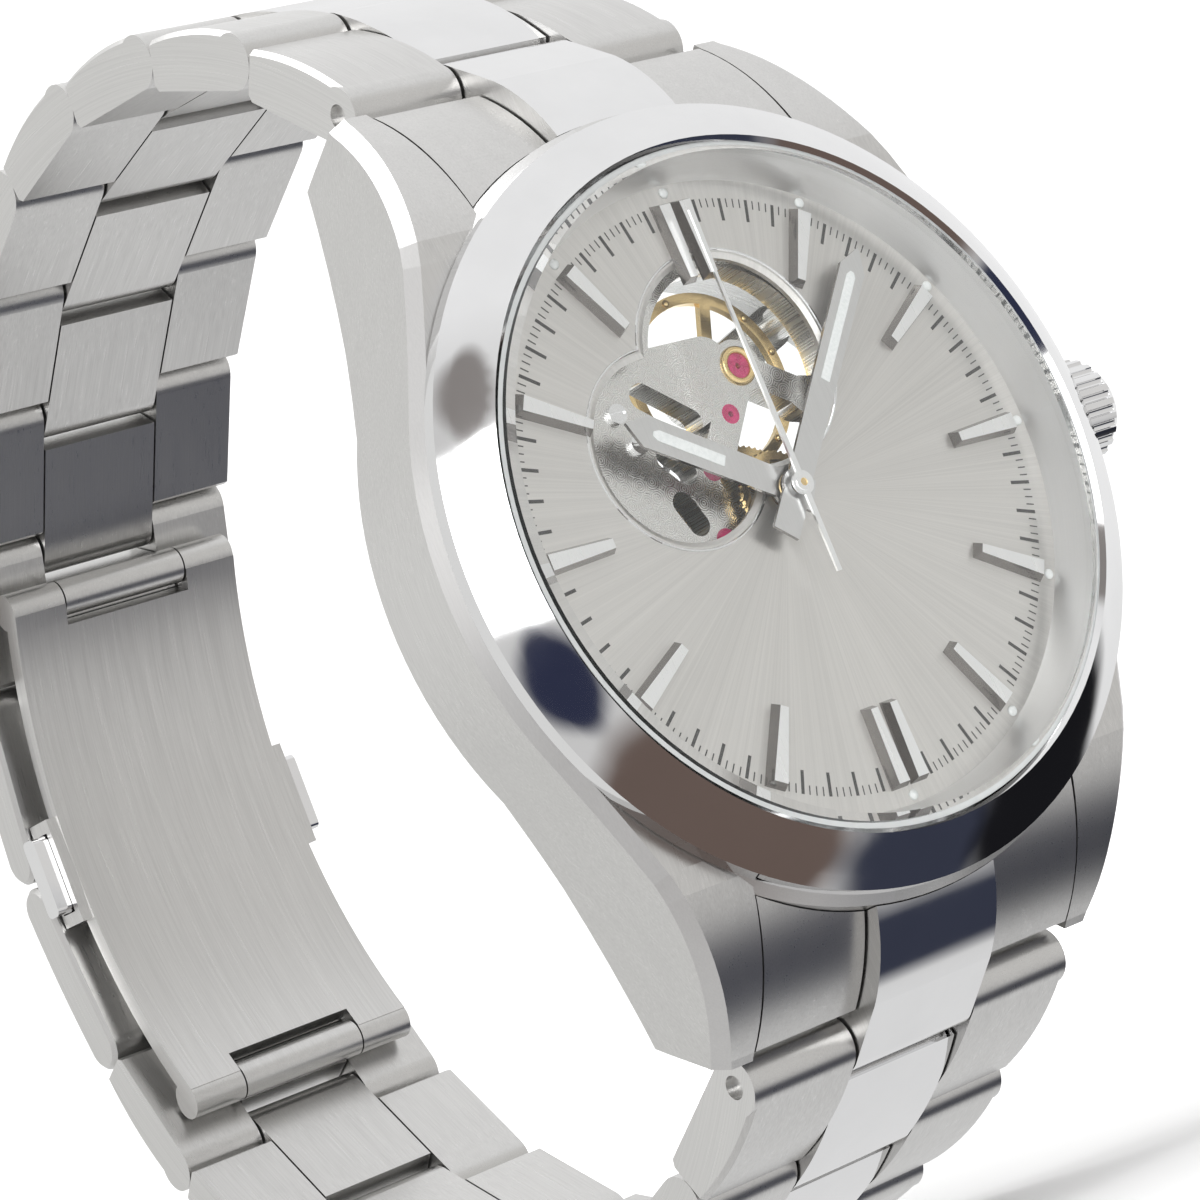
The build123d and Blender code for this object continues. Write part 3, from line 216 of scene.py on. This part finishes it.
def grain_vector(tree, lay, across, along):
    """Coordinates stretched so that a noise draws lines.

    The lay is "z" along the watch, "loop" round the bracelet, "rays" out from the axis
    or "rings" round it.
    """
    x, y, z = object_axes(tree)
    if lay == "z":
        x_scaled = math_node(tree, "MULTIPLY", x, across)
        y_scaled = math_node(tree, "MULTIPLY", y, across)
        z_scaled = math_node(tree, "MULTIPLY", z, along)
        return joined_vector(tree, x_scaled, y_scaled, z_scaled)
    if lay == "loop":
        depth = math_node(tree, "SUBTRACT", y, LOOP_CENTRE[0] * MM)
        height = math_node(tree, "SUBTRACT", z, LOOP_CENTRE[1] * MM)
    else:
        depth = x
        height = z
    depth_square = math_node(tree, "MULTIPLY", depth, depth)
    height_square = math_node(tree, "MULTIPLY", height, height)
    squares = math_node(tree, "ADD", depth_square, height_square)
    radius = math_node(tree, "SQRT", squares)
    angle = math_node(tree, "ARCTAN2", height, depth)
    if lay == "loop":
        x_scaled = math_node(tree, "MULTIPLY", x, across)
        radius_scaled = math_node(tree, "MULTIPLY", radius, across)
        angle_scaled = math_node(tree, "MULTIPLY", angle, along * LOOP_MEAN_R)
        return joined_vector(tree, x_scaled, radius_scaled, angle_scaled)
    if lay == "rays":
        cosine = math_node(tree, "COSINE", angle)
        sine = math_node(tree, "SINE", angle)
        turns = joined_vector(tree, cosine, sine, 0.0)
        scaled = add_node(tree, "ShaderNodeVectorMath", operation="SCALE")
        scaled.inputs["Scale"].default_value = across
        tree.links.new(turns, scaled.inputs[0])
        split = add_node(tree, "ShaderNodeSeparateXYZ")
        tree.links.new(scaled.outputs[0], split.inputs[0])
        depth_scaled = math_node(tree, "MULTIPLY", radius, along)
        return joined_vector(tree, split.outputs[0], split.outputs[1], depth_scaled)
    radius_scaled = math_node(tree, "MULTIPLY", radius, across)
    y_scaled = math_node(tree, "MULTIPLY", y, across)
    angle_scaled = math_node(tree, "MULTIPLY", angle, along * RING_MEAN_R)
    return joined_vector(tree, radius_scaled, y_scaled, angle_scaled)


# ================================================================ materials
def brushed(
    name, colour, roughness, lay, across=13000.0, along=110.0, depth=0.0015, contrast=1.0
):
    """Steel with fine satin lines that change its colour and gloss a little and catch the light."""
    material, tree, shader = new_material(name)
    set_metal(shader, colour, roughness)
    lines = noise(tree, grain_vector(tree, lay, across, along), 1.0, detail=4.0)
    cloud = noise(tree, grain_vector(tree, lay, across * 0.1, along * 0.5), 1.0, detail=2.0)
    both = weighted_sum(tree, lines, 0.8, cloud, 0.2)
    darker = tinted(colour, 1.0 - 0.1 * contrast)
    lighter = tinted(colour, 1.0 + 0.07 * contrast)
    tree.links.new(ramp(tree, both, ((0.3, darker), (0.7, lighter))), shader.inputs["Base Color"])
    spread = 0.04 * contrast
    gloss = ramp(tree, both, ((0.3, roughness + spread), (0.7, roughness - spread)))
    tree.links.new(gloss, shader.inputs["Roughness"])
    bump(tree, shader, lines, depth, 0.4)
    return material


def polished(name, colour, roughness=0.05, wear=0.05):
    """Mirror-finished metal with the faintest handling haze and hairline scratches."""
    material, tree, shader = new_material(name)
    set_metal(shader, colour, roughness)
    x, y, z = object_axes(tree)
    place = joined_vector(tree, x, y, z)
    haze = noise(tree, place, 260.0, detail=3.0)
    gloss = ramp(tree, haze, ((0.35, roughness), (0.75, roughness + wear)))
    tree.links.new(gloss, shader.inputs["Roughness"])
    tone = ramp(tree, haze, ((0.3, tinted(colour, 0.96)), (0.7, colour)))
    tree.links.new(tone, shader.inputs["Base Color"])
    scratches = noise(tree, grain_vector(tree, "z", 5000.0, 500.0), 1.0, detail=5.0, roughness=0.75)
    bump(tree, shader, scratches, 0.0003, 0.15)
    return material


def soft_plastic(name, colour, roughness, grain=900.0):
    """A moulded or rubber part with a fine even skin."""
    material, tree, shader = new_material(name)
    shader.inputs["Roughness"].default_value = roughness
    x, y, z = object_axes(tree)
    spots = noise(tree, joined_vector(tree, x, y, z), grain, detail=3.0)
    colours = ramp(tree, spots, ((0.3, tinted(colour, 0.9)), (0.7, colour)))
    tree.links.new(colours, shader.inputs["Base Color"])
    bump(tree, shader, spots, 0.01, 0.3)
    return material


def sunray_dial():
    """Silver lacquer over a brushed sunburst: fine rays that fan out from the hands."""
    colour = (0.71, 0.69, 0.665)
    material, tree, shader = new_material("dial_silver")
    set_metal(shader, colour, 0.34)
    shader.inputs["Metallic"].default_value = 0.9
    rays = noise(tree, grain_vector(tree, "rays", 90.0, 30.0), 1.0, detail=5.0, roughness=0.7)
    broad = noise(tree, grain_vector(tree, "rays", 2.2, 10.0), 1.0, detail=2.0)
    both = weighted_sum(tree, rays, 0.65, broad, 0.35)
    colours = ramp(tree, both, ((0.32, tinted(colour, 0.88)), (0.68, tinted(colour, 1.08))))
    tree.links.new(colours, shader.inputs["Base Color"])
    gloss = ramp(tree, both, ((0.3, 0.36), (0.7, 0.3)))
    tree.links.new(gloss, shader.inputs["Roughness"])
    shader.inputs["Anisotropic"].default_value = 0.75
    shader.inputs["Coat Weight"].default_value = 0.25
    shader.inputs["Coat Roughness"].default_value = 0.12
    tangent = add_node(tree, "ShaderNodeTangent", direction_type="RADIAL", axis="Y")
    tree.links.new(tangent.outputs[0], shader.inputs["Tangent"])
    bump(tree, shader, rays, 0.003, 0.5)
    return material


def grained_plate(name, colour):
    """Nickel plate covered in overlapping round graining marks."""
    material, tree, shader = new_material(name)
    set_metal(shader, colour, 0.24)
    x, y, z = object_axes(tree)
    cells = add_node(tree, "ShaderNodeTexVoronoi", voronoi_dimensions="2D")
    cells.inputs["Scale"].default_value = 1250.0
    cells.inputs["Randomness"].default_value = 0.25
    tree.links.new(joined_vector(tree, x, z, 0.0), cells.inputs["Vector"])
    rings = math_node(tree, "SINE", math_node(tree, "MULTIPLY", cells.outputs["Distance"], 42.0))
    level = math_node(tree, "ADD", math_node(tree, "MULTIPLY", rings, 0.5), 0.5)
    colours = ramp(tree, level, ((0.0, tinted(colour, 0.86)), (1.0, tinted(colour, 1.08))))
    tree.links.new(colours, shader.inputs["Base Color"])
    gloss = ramp(tree, level, ((0.0, 0.34), (1.0, 0.16)))
    tree.links.new(gloss, shader.inputs["Roughness"])
    bump(tree, shader, level, 0.008, 0.5)
    return material


def striped_rotor(colour):
    """Nickel plate with broad rubbed stripes."""
    material, tree, shader = new_material("rotor_metal")
    set_metal(shader, colour, 0.25)
    x, y, z = object_axes(tree)
    saw = math_node(tree, "FRACT", math_node(tree, "MULTIPLY", x, 450.0))
    lines = noise(tree, grain_vector(tree, "z", 8000.0, 200.0), 1.0, detail=4.0)
    both = weighted_sum(tree, saw, 0.6, lines, 0.4)
    colours = ramp(tree, both, ((0.1, tinted(colour, 0.82)), (0.9, tinted(colour, 1.1))))
    tree.links.new(colours, shader.inputs["Base Color"])
    gloss = ramp(tree, both, ((0.0, 0.32), (1.0, 0.18)))
    tree.links.new(gloss, shader.inputs["Roughness"])
    bump(tree, shader, both, 0.004, 0.5)
    return material


def clear_crystal(name, tint):
    """Flat sapphire: clear glass that lets lamps through to what is under it."""
    material, tree, shader = new_material(name)
    shader.inputs["Base Color"].default_value = (*tint, 1.0)
    shader.inputs["Transmission Weight"].default_value = 1.0
    shader.inputs["IOR"].default_value = 1.45
    x, y, z = object_axes(tree)
    smears = noise(tree, joined_vector(tree, x, y, z), 120.0, detail=2.0)
    gloss = ramp(tree, smears, ((0.3, 0.0), (0.8, 0.012)))
    tree.links.new(gloss, shader.inputs["Roughness"])
    clear = add_node(tree, "ShaderNodeBsdfTransparent")
    clear.inputs["Color"].default_value = (0.96, 0.97, 0.97, 1.0)
    path = add_node(tree, "ShaderNodeLightPath")
    mix = add_node(tree, "ShaderNodeMixShader")
    output = tree.nodes["Material Output"]
    tree.links.new(path.outputs["Is Shadow Ray"], mix.inputs["Fac"])
    tree.links.new(shader.outputs[0], mix.inputs[1])
    tree.links.new(clear.outputs[0], mix.inputs[2])
    tree.links.new(mix.outputs[0], output.inputs["Surface"])
    return material


def ruby_material():
    """Synthetic ruby: deep pink-red, glassy, slightly lit from inside."""
    material, tree, shader = new_material("ruby")
    x, y, z = object_axes(tree)
    depth = noise(tree, joined_vector(tree, x, y, z), 2500.0, detail=2.0)
    colours = ramp(tree, depth, ((0.3, (0.42, 0.01, 0.09)), (0.7, (0.75, 0.04, 0.22))))
    tree.links.new(colours, shader.inputs["Base Color"])
    shader.inputs["Roughness"].default_value = 0.06
    shader.inputs["Subsurface Weight"].default_value = 0.3
    shader.inputs["Subsurface Radius"].default_value = (0.0005, 0.0001, 0.0001)
    shader.inputs["Coat Weight"].default_value = 0.6
    return material


def lume_material():
    """White luminous paste with a faintly granular skin."""
    material, tree, shader = new_material("lume")
    x, y, z = object_axes(tree)
    grains = noise(tree, joined_vector(tree, x, y, z), 6000.0, detail=3.0)
    colours = ramp(tree, grains, ((0.3, (0.84, 0.86, 0.85)), (0.7, (0.95, 0.96, 0.95))))
    tree.links.new(colours, shader.inputs["Base Color"])
    shader.inputs["Roughness"].default_value = 0.45
    bump(tree, shader, grains, 0.006, 0.4)
    return material


def ink_material():
    """Grey-black pad-printed ink."""
    material, tree, shader = new_material("ink")
    x, y, z = object_axes(tree)
    grains = noise(tree, joined_vector(tree, x, y, z), 9000.0, detail=2.0)
    colours = ramp(tree, grains, ((0.3, (0.035, 0.034, 0.034)), (0.7, (0.07, 0.068, 0.066))))
    tree.links.new(colours, shader.inputs["Base Color"])
    shader.inputs["Roughness"].default_value = 0.4
    return material


STEEL = (0.67, 0.665, 0.655)
BRIGHT_STEEL = (0.83, 0.83, 0.835)
NICKEL = (0.74, 0.73, 0.71)
GILT = (0.80, 0.60, 0.30)

case_brushed = brushed("case_brushed", STEEL, 0.3, "z")
link_brushed = brushed("link_brushed", STEEL, 0.3, "loop")
back_brushed = brushed("back_brushed", STEEL, 0.28, "rings")
bright = polished("bright_steel", BRIGHT_STEEL)
# Dark polished steel for the sloped sides of hands and markers: painted shade that stands in for dark
# reflections.
painted_shade = polished("painted_shade_steel", (0.3, 0.285, 0.275), roughness=0.12)
satin = brushed("satin_steel", (0.70, 0.695, 0.69), 0.3, "z", contrast=0.5)
light_satin = brushed("light_satin_steel", (0.93, 0.93, 0.93), 0.28, "z", contrast=0.3)
flange_satin = brushed(
    "flange_satin", (0.84, 0.835, 0.83), 0.34, "rings", contrast=0.2, depth=0.0003
)
blank = brushed("blank_steel", (0.6, 0.6, 0.61), 0.22, "z")
gilt = brushed("gilt_brass", GILT, 0.22, "rings")
nickel = grained_plate("nickel_plate", NICKEL)
rotor_metal = striped_rotor(NICKEL)
dial_silver = sunray_dial()
crystal_glass = clear_crystal("sapphire", (0.99, 1.0, 1.0))
gasket_white = soft_plastic("gasket", (0.72, 0.74, 0.74), 0.4)
holder_grey = soft_plastic("holder", (0.5, 0.5, 0.49), 0.45)
ruby = ruby_material()
lume = lume_material()
ink = ink_material()


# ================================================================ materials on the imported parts
def dress(material, *names):
    """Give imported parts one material."""
    for name in names:
        mesh = nodes[name].data
        mesh.materials.clear()
        mesh.materials.append(material)


def dress_faces(node_name, first, second, chosen):
    """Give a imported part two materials; chosen(corners, normal) picks the faces of the second."""
    mesh = nodes[node_name].data
    mesh.materials.clear()
    mesh.materials.append(first)
    mesh.materials.append(second)
    for face in mesh.polygons:
        corners = [mesh.vertices[index].co for index in face.vertices]
        face.material_index = 1 if chosen(corners, face.normal) else 0


dress(bright, "bezel", "crown")
dress(back_brushed, "case_back")
dress(crystal_glass, "crystal", "case_back_crystal")
dress(flange_satin, "dial_flange")
dress(dial_silver, "dial")
dress(light_satin, "seconds_hand")
dress(gasket_white, "gaskets", "crown_gasket")
dress(holder_grey, "movement_holder")
dress(blank, "crown_tube", "winding_stem", "spring_bars", "pallet_fork", "hairspring", "escape_wheel")
dress(bright, "movement_screws")
dress(nickel, "main_plate", "train_bridge", "balance_bridge", "automatic_bridge")
dress(rotor_metal, "rotor")
dress(gilt, "centre_wheel", "third_wheel", "fourth_wheel", "balance_wheel")
dress(gilt, "mainspring_barrel", "minute_wheel", "hour_wheel")
dress(ruby, "jewels")
dress(bright, "clasp_button_left", "clasp_button_right")
dress(link_brushed, "clasp_plate", "clasp_arm_12", "clasp_arm_6")

CENTRE_LINK_EDGE = 3.9 * MM
OUTWARD_LEAN = 0.2
FACET_FRONT_LIMIT = -0.93
BEVEL_DEPTH = 6.4 * MM
BEVEL_FRONT_LIMIT = -0.3
BEVEL_SLOPE = 0.3
BEVEL_SIDE_LEAN = 0.1


def on_centre_link(corners, normal):
    """Faces of the middle row that look away from the wrist; the inner faces stay brushed."""
    outward = corners[0] - Vector((0, LOOP_CENTRE[0], LOOP_CENTRE[1])) * MM
    is_middle = max(abs(corner.x) for corner in corners) < CENTRE_LINK_EDGE
    return is_middle and normal.dot(outward.normalized()) > OUTWARD_LEAN


def is_painted_shade_facet(corners, normal):
    """Faces of a hand or marker that slope down to the dial; they take the dark steel that paints
    shade on these sides.
    """
    return normal.y > FACET_FRONT_LIMIT


def on_case_bevel(corners, normal):
    """Faces of the satin bevel between the case's brushed side and its brushed top."""
    deepest = max(corner.y for corner in corners)
    is_sloped = normal.y < BEVEL_FRONT_LIMIT and hypot(normal.x, normal.z) > BEVEL_SLOPE
    return is_sloped and abs(normal.x) > BEVEL_SIDE_LEAN and deepest < BEVEL_DEPTH


dress_faces("case_middle", case_brushed, satin, on_case_bevel)
# The sloped sides of the markers and hands take the dark steel: painted shade, so the sides read
# darker than the fronts.
dress_faces("hour_markers", light_satin, painted_shade, is_painted_shade_facet)
for hand in ("hour_hand", "minute_hand"):
    dress_faces(hand, satin, painted_shade, is_painted_shade_facet)
for side in ("12", "6"):
    dress_faces(f"end_link_{side}", case_brushed, bright, on_centre_link)
    for index in range(1, 10):
        dress_faces(f"link_{side}_{index}", link_brushed, bright, on_centre_link)


# ================================================================ mesh helpers
def finish_piece(mesh_builder, name, body, material, smooth=False):
    """Turn a bmesh into a piece that rides on a body."""
    bmesh.ops.recalc_face_normals(mesh_builder, faces=mesh_builder.faces)
    mesh = bpy.data.meshes.new(name)
    mesh_builder.to_mesh(mesh)
    mesh_builder.free()
    mesh.materials.append(material)
    for face in mesh.polygons:
        face.use_smooth = smooth
    piece = bpy.data.objects.new(name, mesh)
    bpy.context.scene.collection.objects.link(piece)
    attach(piece, body)
    return piece


def dial_point(angle, radius, across=0.0, depth=0.0):
    """A point over the dial from a clock angle, a radius and a sideways step, all in mm."""
    turn = radians(angle)
    x = radius * sin(turn) + across * cos(turn)
    z = radius * cos(turn) - across * sin(turn)
    return Vector((x * MM, depth * MM, z * MM))


def add_slab(builder, outline, front, back):
    """A flat slab from an outline of (angle, radius, across) and two depths.

    The front is nearer the eye.
    """
    lower = [builder.verts.new(dial_point(*corner, back)) for corner in outline]
    upper = [builder.verts.new(dial_point(*corner, front)) for corner in outline]
    builder.faces.new(lower)
    builder.faces.new(upper)
    count = len(outline)
    for index in range(count):
        after = (index + 1) % count
        builder.faces.new((lower[index], lower[after], upper[after], upper[index]))


def add_dome(builder, centre, radius, height, rings=4, steps=20):
    """A shallow dome standing towards the eye on the dial's plane; sizes in mm."""
    rows = []
    for ring in range(rings):
        share = ring / rings
        ring_r = radius * cos(share * pi / 2)
        depth = -height * sin(share * pi / 2)
        row = []
        for step in range(steps):
            turn = 2 * pi * step / steps
            offset = Vector((ring_r * sin(turn), depth, ring_r * cos(turn))) * MM
            row.append(builder.verts.new(centre + offset))
        rows.append(row)
    top = builder.verts.new(centre + Vector((0, -height, 0)) * MM)
    for low, high in zip(rows, rows[1:]):
        for step in range(steps):
            after = (step + 1) % steps
            builder.faces.new((low[step], low[after], high[after], high[step]))
    for step in range(steps):
        builder.faces.new((rows[-1][step], rows[-1][(step + 1) % steps], top))
    builder.faces.new(rows[0])


# ================================================================ dial detail
def near_marker(angle):
    """True where an hour marker covers the minute track."""
    offset = (angle + 15) % 30 - 15
    is_double = round(angle / 30) % 6 == 0
    limit = DOUBLE_MARKER_HALF_ANGLE if is_double else MARKER_HALF_ANGLE
    return abs(offset) < limit


track = bmesh.new()
for index in range(60 * TICKS_PER_MINUTE):
    angle = index * 360 / (60 * TICKS_PER_MINUTE)
    if near_marker(angle):
        continue
    is_long = index % TICKS_PER_MINUTE == 0
    inner = LONG_TICK_INNER if is_long else SHORT_TICK_INNER
    half = LONG_TICK_HALF if is_long else SHORT_TICK_HALF
    outline = [
        (angle, TICK_OUTER, -half),
        (angle, TICK_OUTER, half),
        (angle, inner, half),
        (angle, inner, -half),
    ]
    add_slab(track, outline, TICK_FRONT, TICK_BACK)
finish_piece(track, "minute_track", "case", ink)

dots = bmesh.new()
for hour in range(12):
    add_dome(dots, dial_point(hour * 30, DOT_RING_R), DOT_R, DOT_HEIGHT)
finish_piece(dots, "lume_dots", "case", lume, smooth=True)


def lume_strip(name, body, angle, strip, front):
    """A strip of luminous paste let into a hand; the strip is its inner and outer ends and width."""
    builder = bmesh.new()
    inner, outer, width = strip
    half = width / 2
    outline = [
        (angle, inner, -half),
        (angle, inner, half),
        (angle, outer - half, half),
        (angle, outer, half * LUME_TIP_SHARE),
        (angle, outer, -half * LUME_TIP_SHARE),
        (angle, outer - half, -half),
    ]
    add_slab(builder, outline, front - LUME_PROUD, front + LUME_SUNK)
    return finish_piece(builder, name, body, lume)


hour_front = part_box("hour_hand")[0].y / MM
minute_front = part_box("minute_hand")[0].y / MM
lume_strip("hour_hand_lume", "hour", HOUR_ANGLE, HOUR_LUME, hour_front)
lume_strip("minute_hand_lume", "minute", MINUTE_ANGLE, MINUTE_LUME, minute_front)


def lobes_outline(grow, steps=64):
    """The figure-of-eight outline of the two lobes, grown outwards, as (x, z) points in mm."""
    x_a, z_a, r_a = LOBE_12
    x_b, z_b, r_b = LOBE_9
    r_a += grow
    r_b += grow
    gap = hypot(x_b - x_a, z_b - z_a)
    towards = atan2(z_b - z_a, x_b - x_a)
    half_a = acos((r_a**2 + gap**2 - r_b**2) / (2 * r_a * gap))
    half_b = acos((r_b**2 + gap**2 - r_a**2) / (2 * r_b * gap))
    points = []
    for x, z, radius, start, half in (
        (x_a, z_a, r_a, towards, half_a),
        (x_b, z_b, r_b, towards + pi, half_b),
    ):
        sweep = 2 * pi - 2 * half
        for step in range(steps):
            angle = start + half + sweep * step / (steps - 1)
            points.append((x + radius * cos(angle), z + radius * sin(angle)))
    return points


def lobe_ring(name, profile, material):
    """A closed ring round the aperture; the profile is (growth, depth) pairs in mm."""
    builder = bmesh.new()
    loops = []
    for grow, depth in profile:
        outline = lobes_outline(grow)
        loops.append([builder.verts.new(Vector((x, depth, z)) * MM) for x, z in outline])
    count = len(loops[0])
    for first, second in zip(loops, loops[1:] + loops[:1]):
        for index in range(count):
            after = (index + 1) % count
            builder.faces.new((first[index], first[after], second[after], second[index]))
    return finish_piece(builder, name, "case", material)


RIM_PROFILE = [
    (0.5, -0.005),
    (0.47, -0.055),
    (0.40, -0.06),
    (0.36, -0.01),
    (0.34, 0.04),
    (0.46, 0.04),
]
lobe_ring("aperture_rim", RIM_PROFILE, bright)


def add_ring(builder, centre, radius, thick, depth, steps=40, sides=8):
    """A small torus lying parallel to the dial; sizes in mm."""
    loops = []
    for step in range(steps):
        turn = 2 * pi * step / steps
        loop = []
        for side in range(sides):
            lean = 2 * pi * side / sides
            ring_r = radius + thick * cos(lean)
            lift = depth + thick * sin(lean)
            offset = Vector((ring_r * cos(turn), lift, ring_r * sin(turn))) * MM
            loop.append(builder.verts.new(centre + offset))
        loops.append(loop)
    for step in range(steps):
        here = loops[step]
        there = loops[(step + 1) % steps]
        for side in range(sides):
            after = (side + 1) % sides
            builder.faces.new((here[side], here[after], there[after], there[side]))


setting = bmesh.new()
balance_centre = Vector((BALANCE_AT[0] * MM, 0, BALANCE_AT[1] * MM))
add_ring(setting, balance_centre, SETTING_R, SETTING_THICK, SETTING_DEPTH)
finish_piece(setting, "balance_jewel_setting", "case", gilt, smooth=True)

weights = bmesh.new()
for quarter in range(4):
    for offset in (-WEIGHT_SPREAD, WEIGHT_SPREAD):
        angle = radians(BALANCE_TURN + quarter * 90 + 45 + offset)
        outward = Vector((sin(angle), 0, cos(angle)))
        at = balance_centre + outward * (BALANCE_R - WEIGHT_INSET) * MM
        rim_front = at + Vector((0, BALANCE_RIM_FRONT * MM, 0))
        add_dome(weights, rim_front, WEIGHT_R, WEIGHT_HEIGHT, steps=12)
finish_piece(weights, "balance_weights", "balance", gilt, smooth=True)

# ================================================================ floor, light and camera
# The floor's own sizes are in metres: flat under the watch, then curved up behind it.
FLOOR_BELOW = 0.0004
FLOOR_ROWS = 24
FLAT_START = -0.6
FLAT_LENGTH = 2.2
CURVE_START = 1.6
CURVE_R = 0.9
FLOOR_COLUMNS = (-2.6, -1.3, 0.0, 1.3, 2.6)
FLOOR_FORWARD = Vector((0.6, 0.8, 0.0))
FLOOR_RIGHT = Vector((0.8, -0.6, 0.0))
floor_height = cad_box[0][2] - FLOOR_BELOW
floor = bmesh.new()
sweep_rows = []
for step in range(FLOOR_ROWS + 1):
    share = step / FLOOR_ROWS
    if share < 0.5:
        distance = FLAT_START + share * 2 * FLAT_LENGTH
        height = 0.0
    else:
        lean = (share - 0.5) * 2 * pi / 2
        distance = CURVE_START + CURVE_R * sin(lean)
        height = CURVE_R * (1 - cos(lean))
    row = []
    for across in FLOOR_COLUMNS:
        flat_place = FLOOR_FORWARD * distance + FLOOR_RIGHT * across
        row.append(floor.verts.new(flat_place + Vector((0, 0, floor_height + height))))
    sweep_rows.append(row)
for near, far in zip(sweep_rows, sweep_rows[1:]):
    for index in range(len(near) - 1):
        floor.faces.new((near[index], near[index + 1], far[index + 1], far[index]))
floor_mesh = bpy.data.meshes.new("floor")
floor.to_mesh(floor_mesh)
floor.free()
for face in floor_mesh.polygons:
    face.use_smooth = True
floor_material, floor_tree, floor_shader = new_material("floor_white")
floor_shader.inputs["Roughness"].default_value = 0.7
floor_x, floor_y, floor_z = object_axes(floor_tree)
floor_cloud = noise(floor_tree, joined_vector(floor_tree, floor_x, floor_y, floor_z), 2.0)
floor_colour = ramp(floor_tree, floor_cloud, ((0.2, (0.92, 0.92, 0.92)), (0.8, (0.96, 0.96, 0.96))))
floor_tree.links.new(floor_colour, floor_shader.inputs["Base Color"])
floor_mesh.materials.append(floor_material)
floor_object = bpy.data.objects.new("floor", floor_mesh)
bpy.context.scene.collection.objects.link(floor_object)
floor_object.visible_glossy = False


def soft_box(name, place, target, width, height, power, colour=(1.0, 1.0, 1.0)):
    """A rectangular area light aimed at a point; places in mm."""
    light = bpy.data.lights.new(name, "AREA")
    light.shape = "RECTANGLE"
    light.size = width * MM
    light.size_y = height * MM
    light.energy = power
    light.color = colour
    lamp = bpy.data.objects.new(name, light)
    lamp.location = Vector(place) * MM
    aim = Vector(target) * MM - lamp.location
    lamp.rotation_euler = aim.to_track_quat("-Z", "Y").to_euler()
    bpy.context.scene.collection.objects.link(lamp)
    return lamp


WATCH_MIDDLE = (0, 10, 0)
soft_box("top_light", (-60, 60, 420), WATCH_MIDDLE, 420, 320, 1.0)
soft_box("left_light", (-420, 200, 120), WATCH_MIDDLE, 320, 420, 0.25)
soft_box("window_light", (-312, -486, 144), WATCH_MIDDLE, 330, 360, 0.9)
soft_box("backdrop_light", (300, 400, 700), (960, 1280, 100), 900, 500, 22.0)

world = bpy.data.worlds.new("studio")
bpy.context.scene.world = world
world.use_nodes = True
world_tree = world.node_tree
background = world_tree.nodes["Background"]
world_coordinates = add_node(world_tree, "ShaderNodeTexCoord")


def room_patch(colour, direction, reach, edge, patch_colour):
    """Repaint the room within an angle of a direction; reach and edge are in degrees."""
    dot = add_node(world_tree, "ShaderNodeVectorMath", operation="DOT_PRODUCT")
    dot.inputs[1].default_value = Vector(direction).normalized()
    world_tree.links.new(world_coordinates.outputs["Generated"], dot.inputs[0])
    stops = ((cos(radians(reach + edge)), 0.0), (cos(radians(reach)), 1.0))
    share = ramp(world_tree, dot.outputs["Value"], stops)
    mix = add_node(world_tree, "ShaderNodeMix", data_type="RGBA")
    world_tree.links.new(share, mix.inputs["Factor"])
    world_tree.links.new(colour, mix.inputs[6])
    mix.inputs[7].default_value = (*patch_colour, 1.0)
    return mix.outputs[2]


# Each patch is named for what shows it: (direction, reach, edge, colour).
# Later patches are painted over earlier ones.
ROOM_PATCHES = {
    "over the watch": ((0.35, 0.0, 0.9), 45, 25, (0.95, 0.95, 0.95)),
    "beside the watch": ((-0.6, 0.79, 0.11), 35, 30, (0.8, 0.8, 0.79)),
    "beyond the watch": ((0.92, 0.38, 0.1), 22, 14, (0.95, 0.95, 0.95)),
    "under the watch": ((0.5, 0.6, -0.62), 30, 20, (0.8, 0.8, 0.8)),
    "dial and hands": ((0.6, -0.79, 0.11), 16, 22, (0.76, 0.75, 0.735)),
    "bezel at 10": ((-0.34, -0.7, 0.63), 8, 1.5, (0.27, 0.25, 0.24)),
    "bezel at 8": ((-0.5, -0.84, -0.24), 9, 3, (0.03, 0.035, 0.07)),
    "bezel at 7": ((-0.08, -0.68, -0.73), 22, 6, (0.15, 0.11, 0.095)),
    "bezel at 6": ((0.55, -0.36, -0.75), 13, 7, (0.04, 0.045, 0.07)),
    "bezel at 5": ((0.86, -0.08, -0.48), 15, 5, (0.01, 0.01, 0.012)),
}
base = add_node(world_tree, "ShaderNodeRGB")
base.outputs[0].default_value = (0.68, 0.675, 0.67, 1.0)
room = base.outputs[0]
for direction, reach, edge, colour in ROOM_PATCHES.values():
    room = room_patch(room, direction, reach, edge, colour)
world_tree.links.new(room, background.inputs["Color"])
background.inputs["Strength"].default_value = 1.0

camera_data = bpy.data.cameras.new("camera")
camera_data.sensor_width = 36.0
camera_data.lens = CAMERA_LENS
camera_data.clip_start = 0.01
camera = bpy.data.objects.new("camera", camera_data)
forward = Vector(CAMERA_FORWARD).normalized()
up = Vector(CAMERA_UP).normalized()
right = forward.cross(up)
rotation = Matrix((right, up, -forward)).transposed()
camera.matrix_world = Matrix.Translation(Vector(CAMERA_AT) * MM) @ rotation.to_4x4()
bpy.context.scene.collection.objects.link(camera)
bpy.context.scene.camera = camera
bpy.context.scene.view_settings.view_transform = "Standard"

bpy.context.view_layer.update()
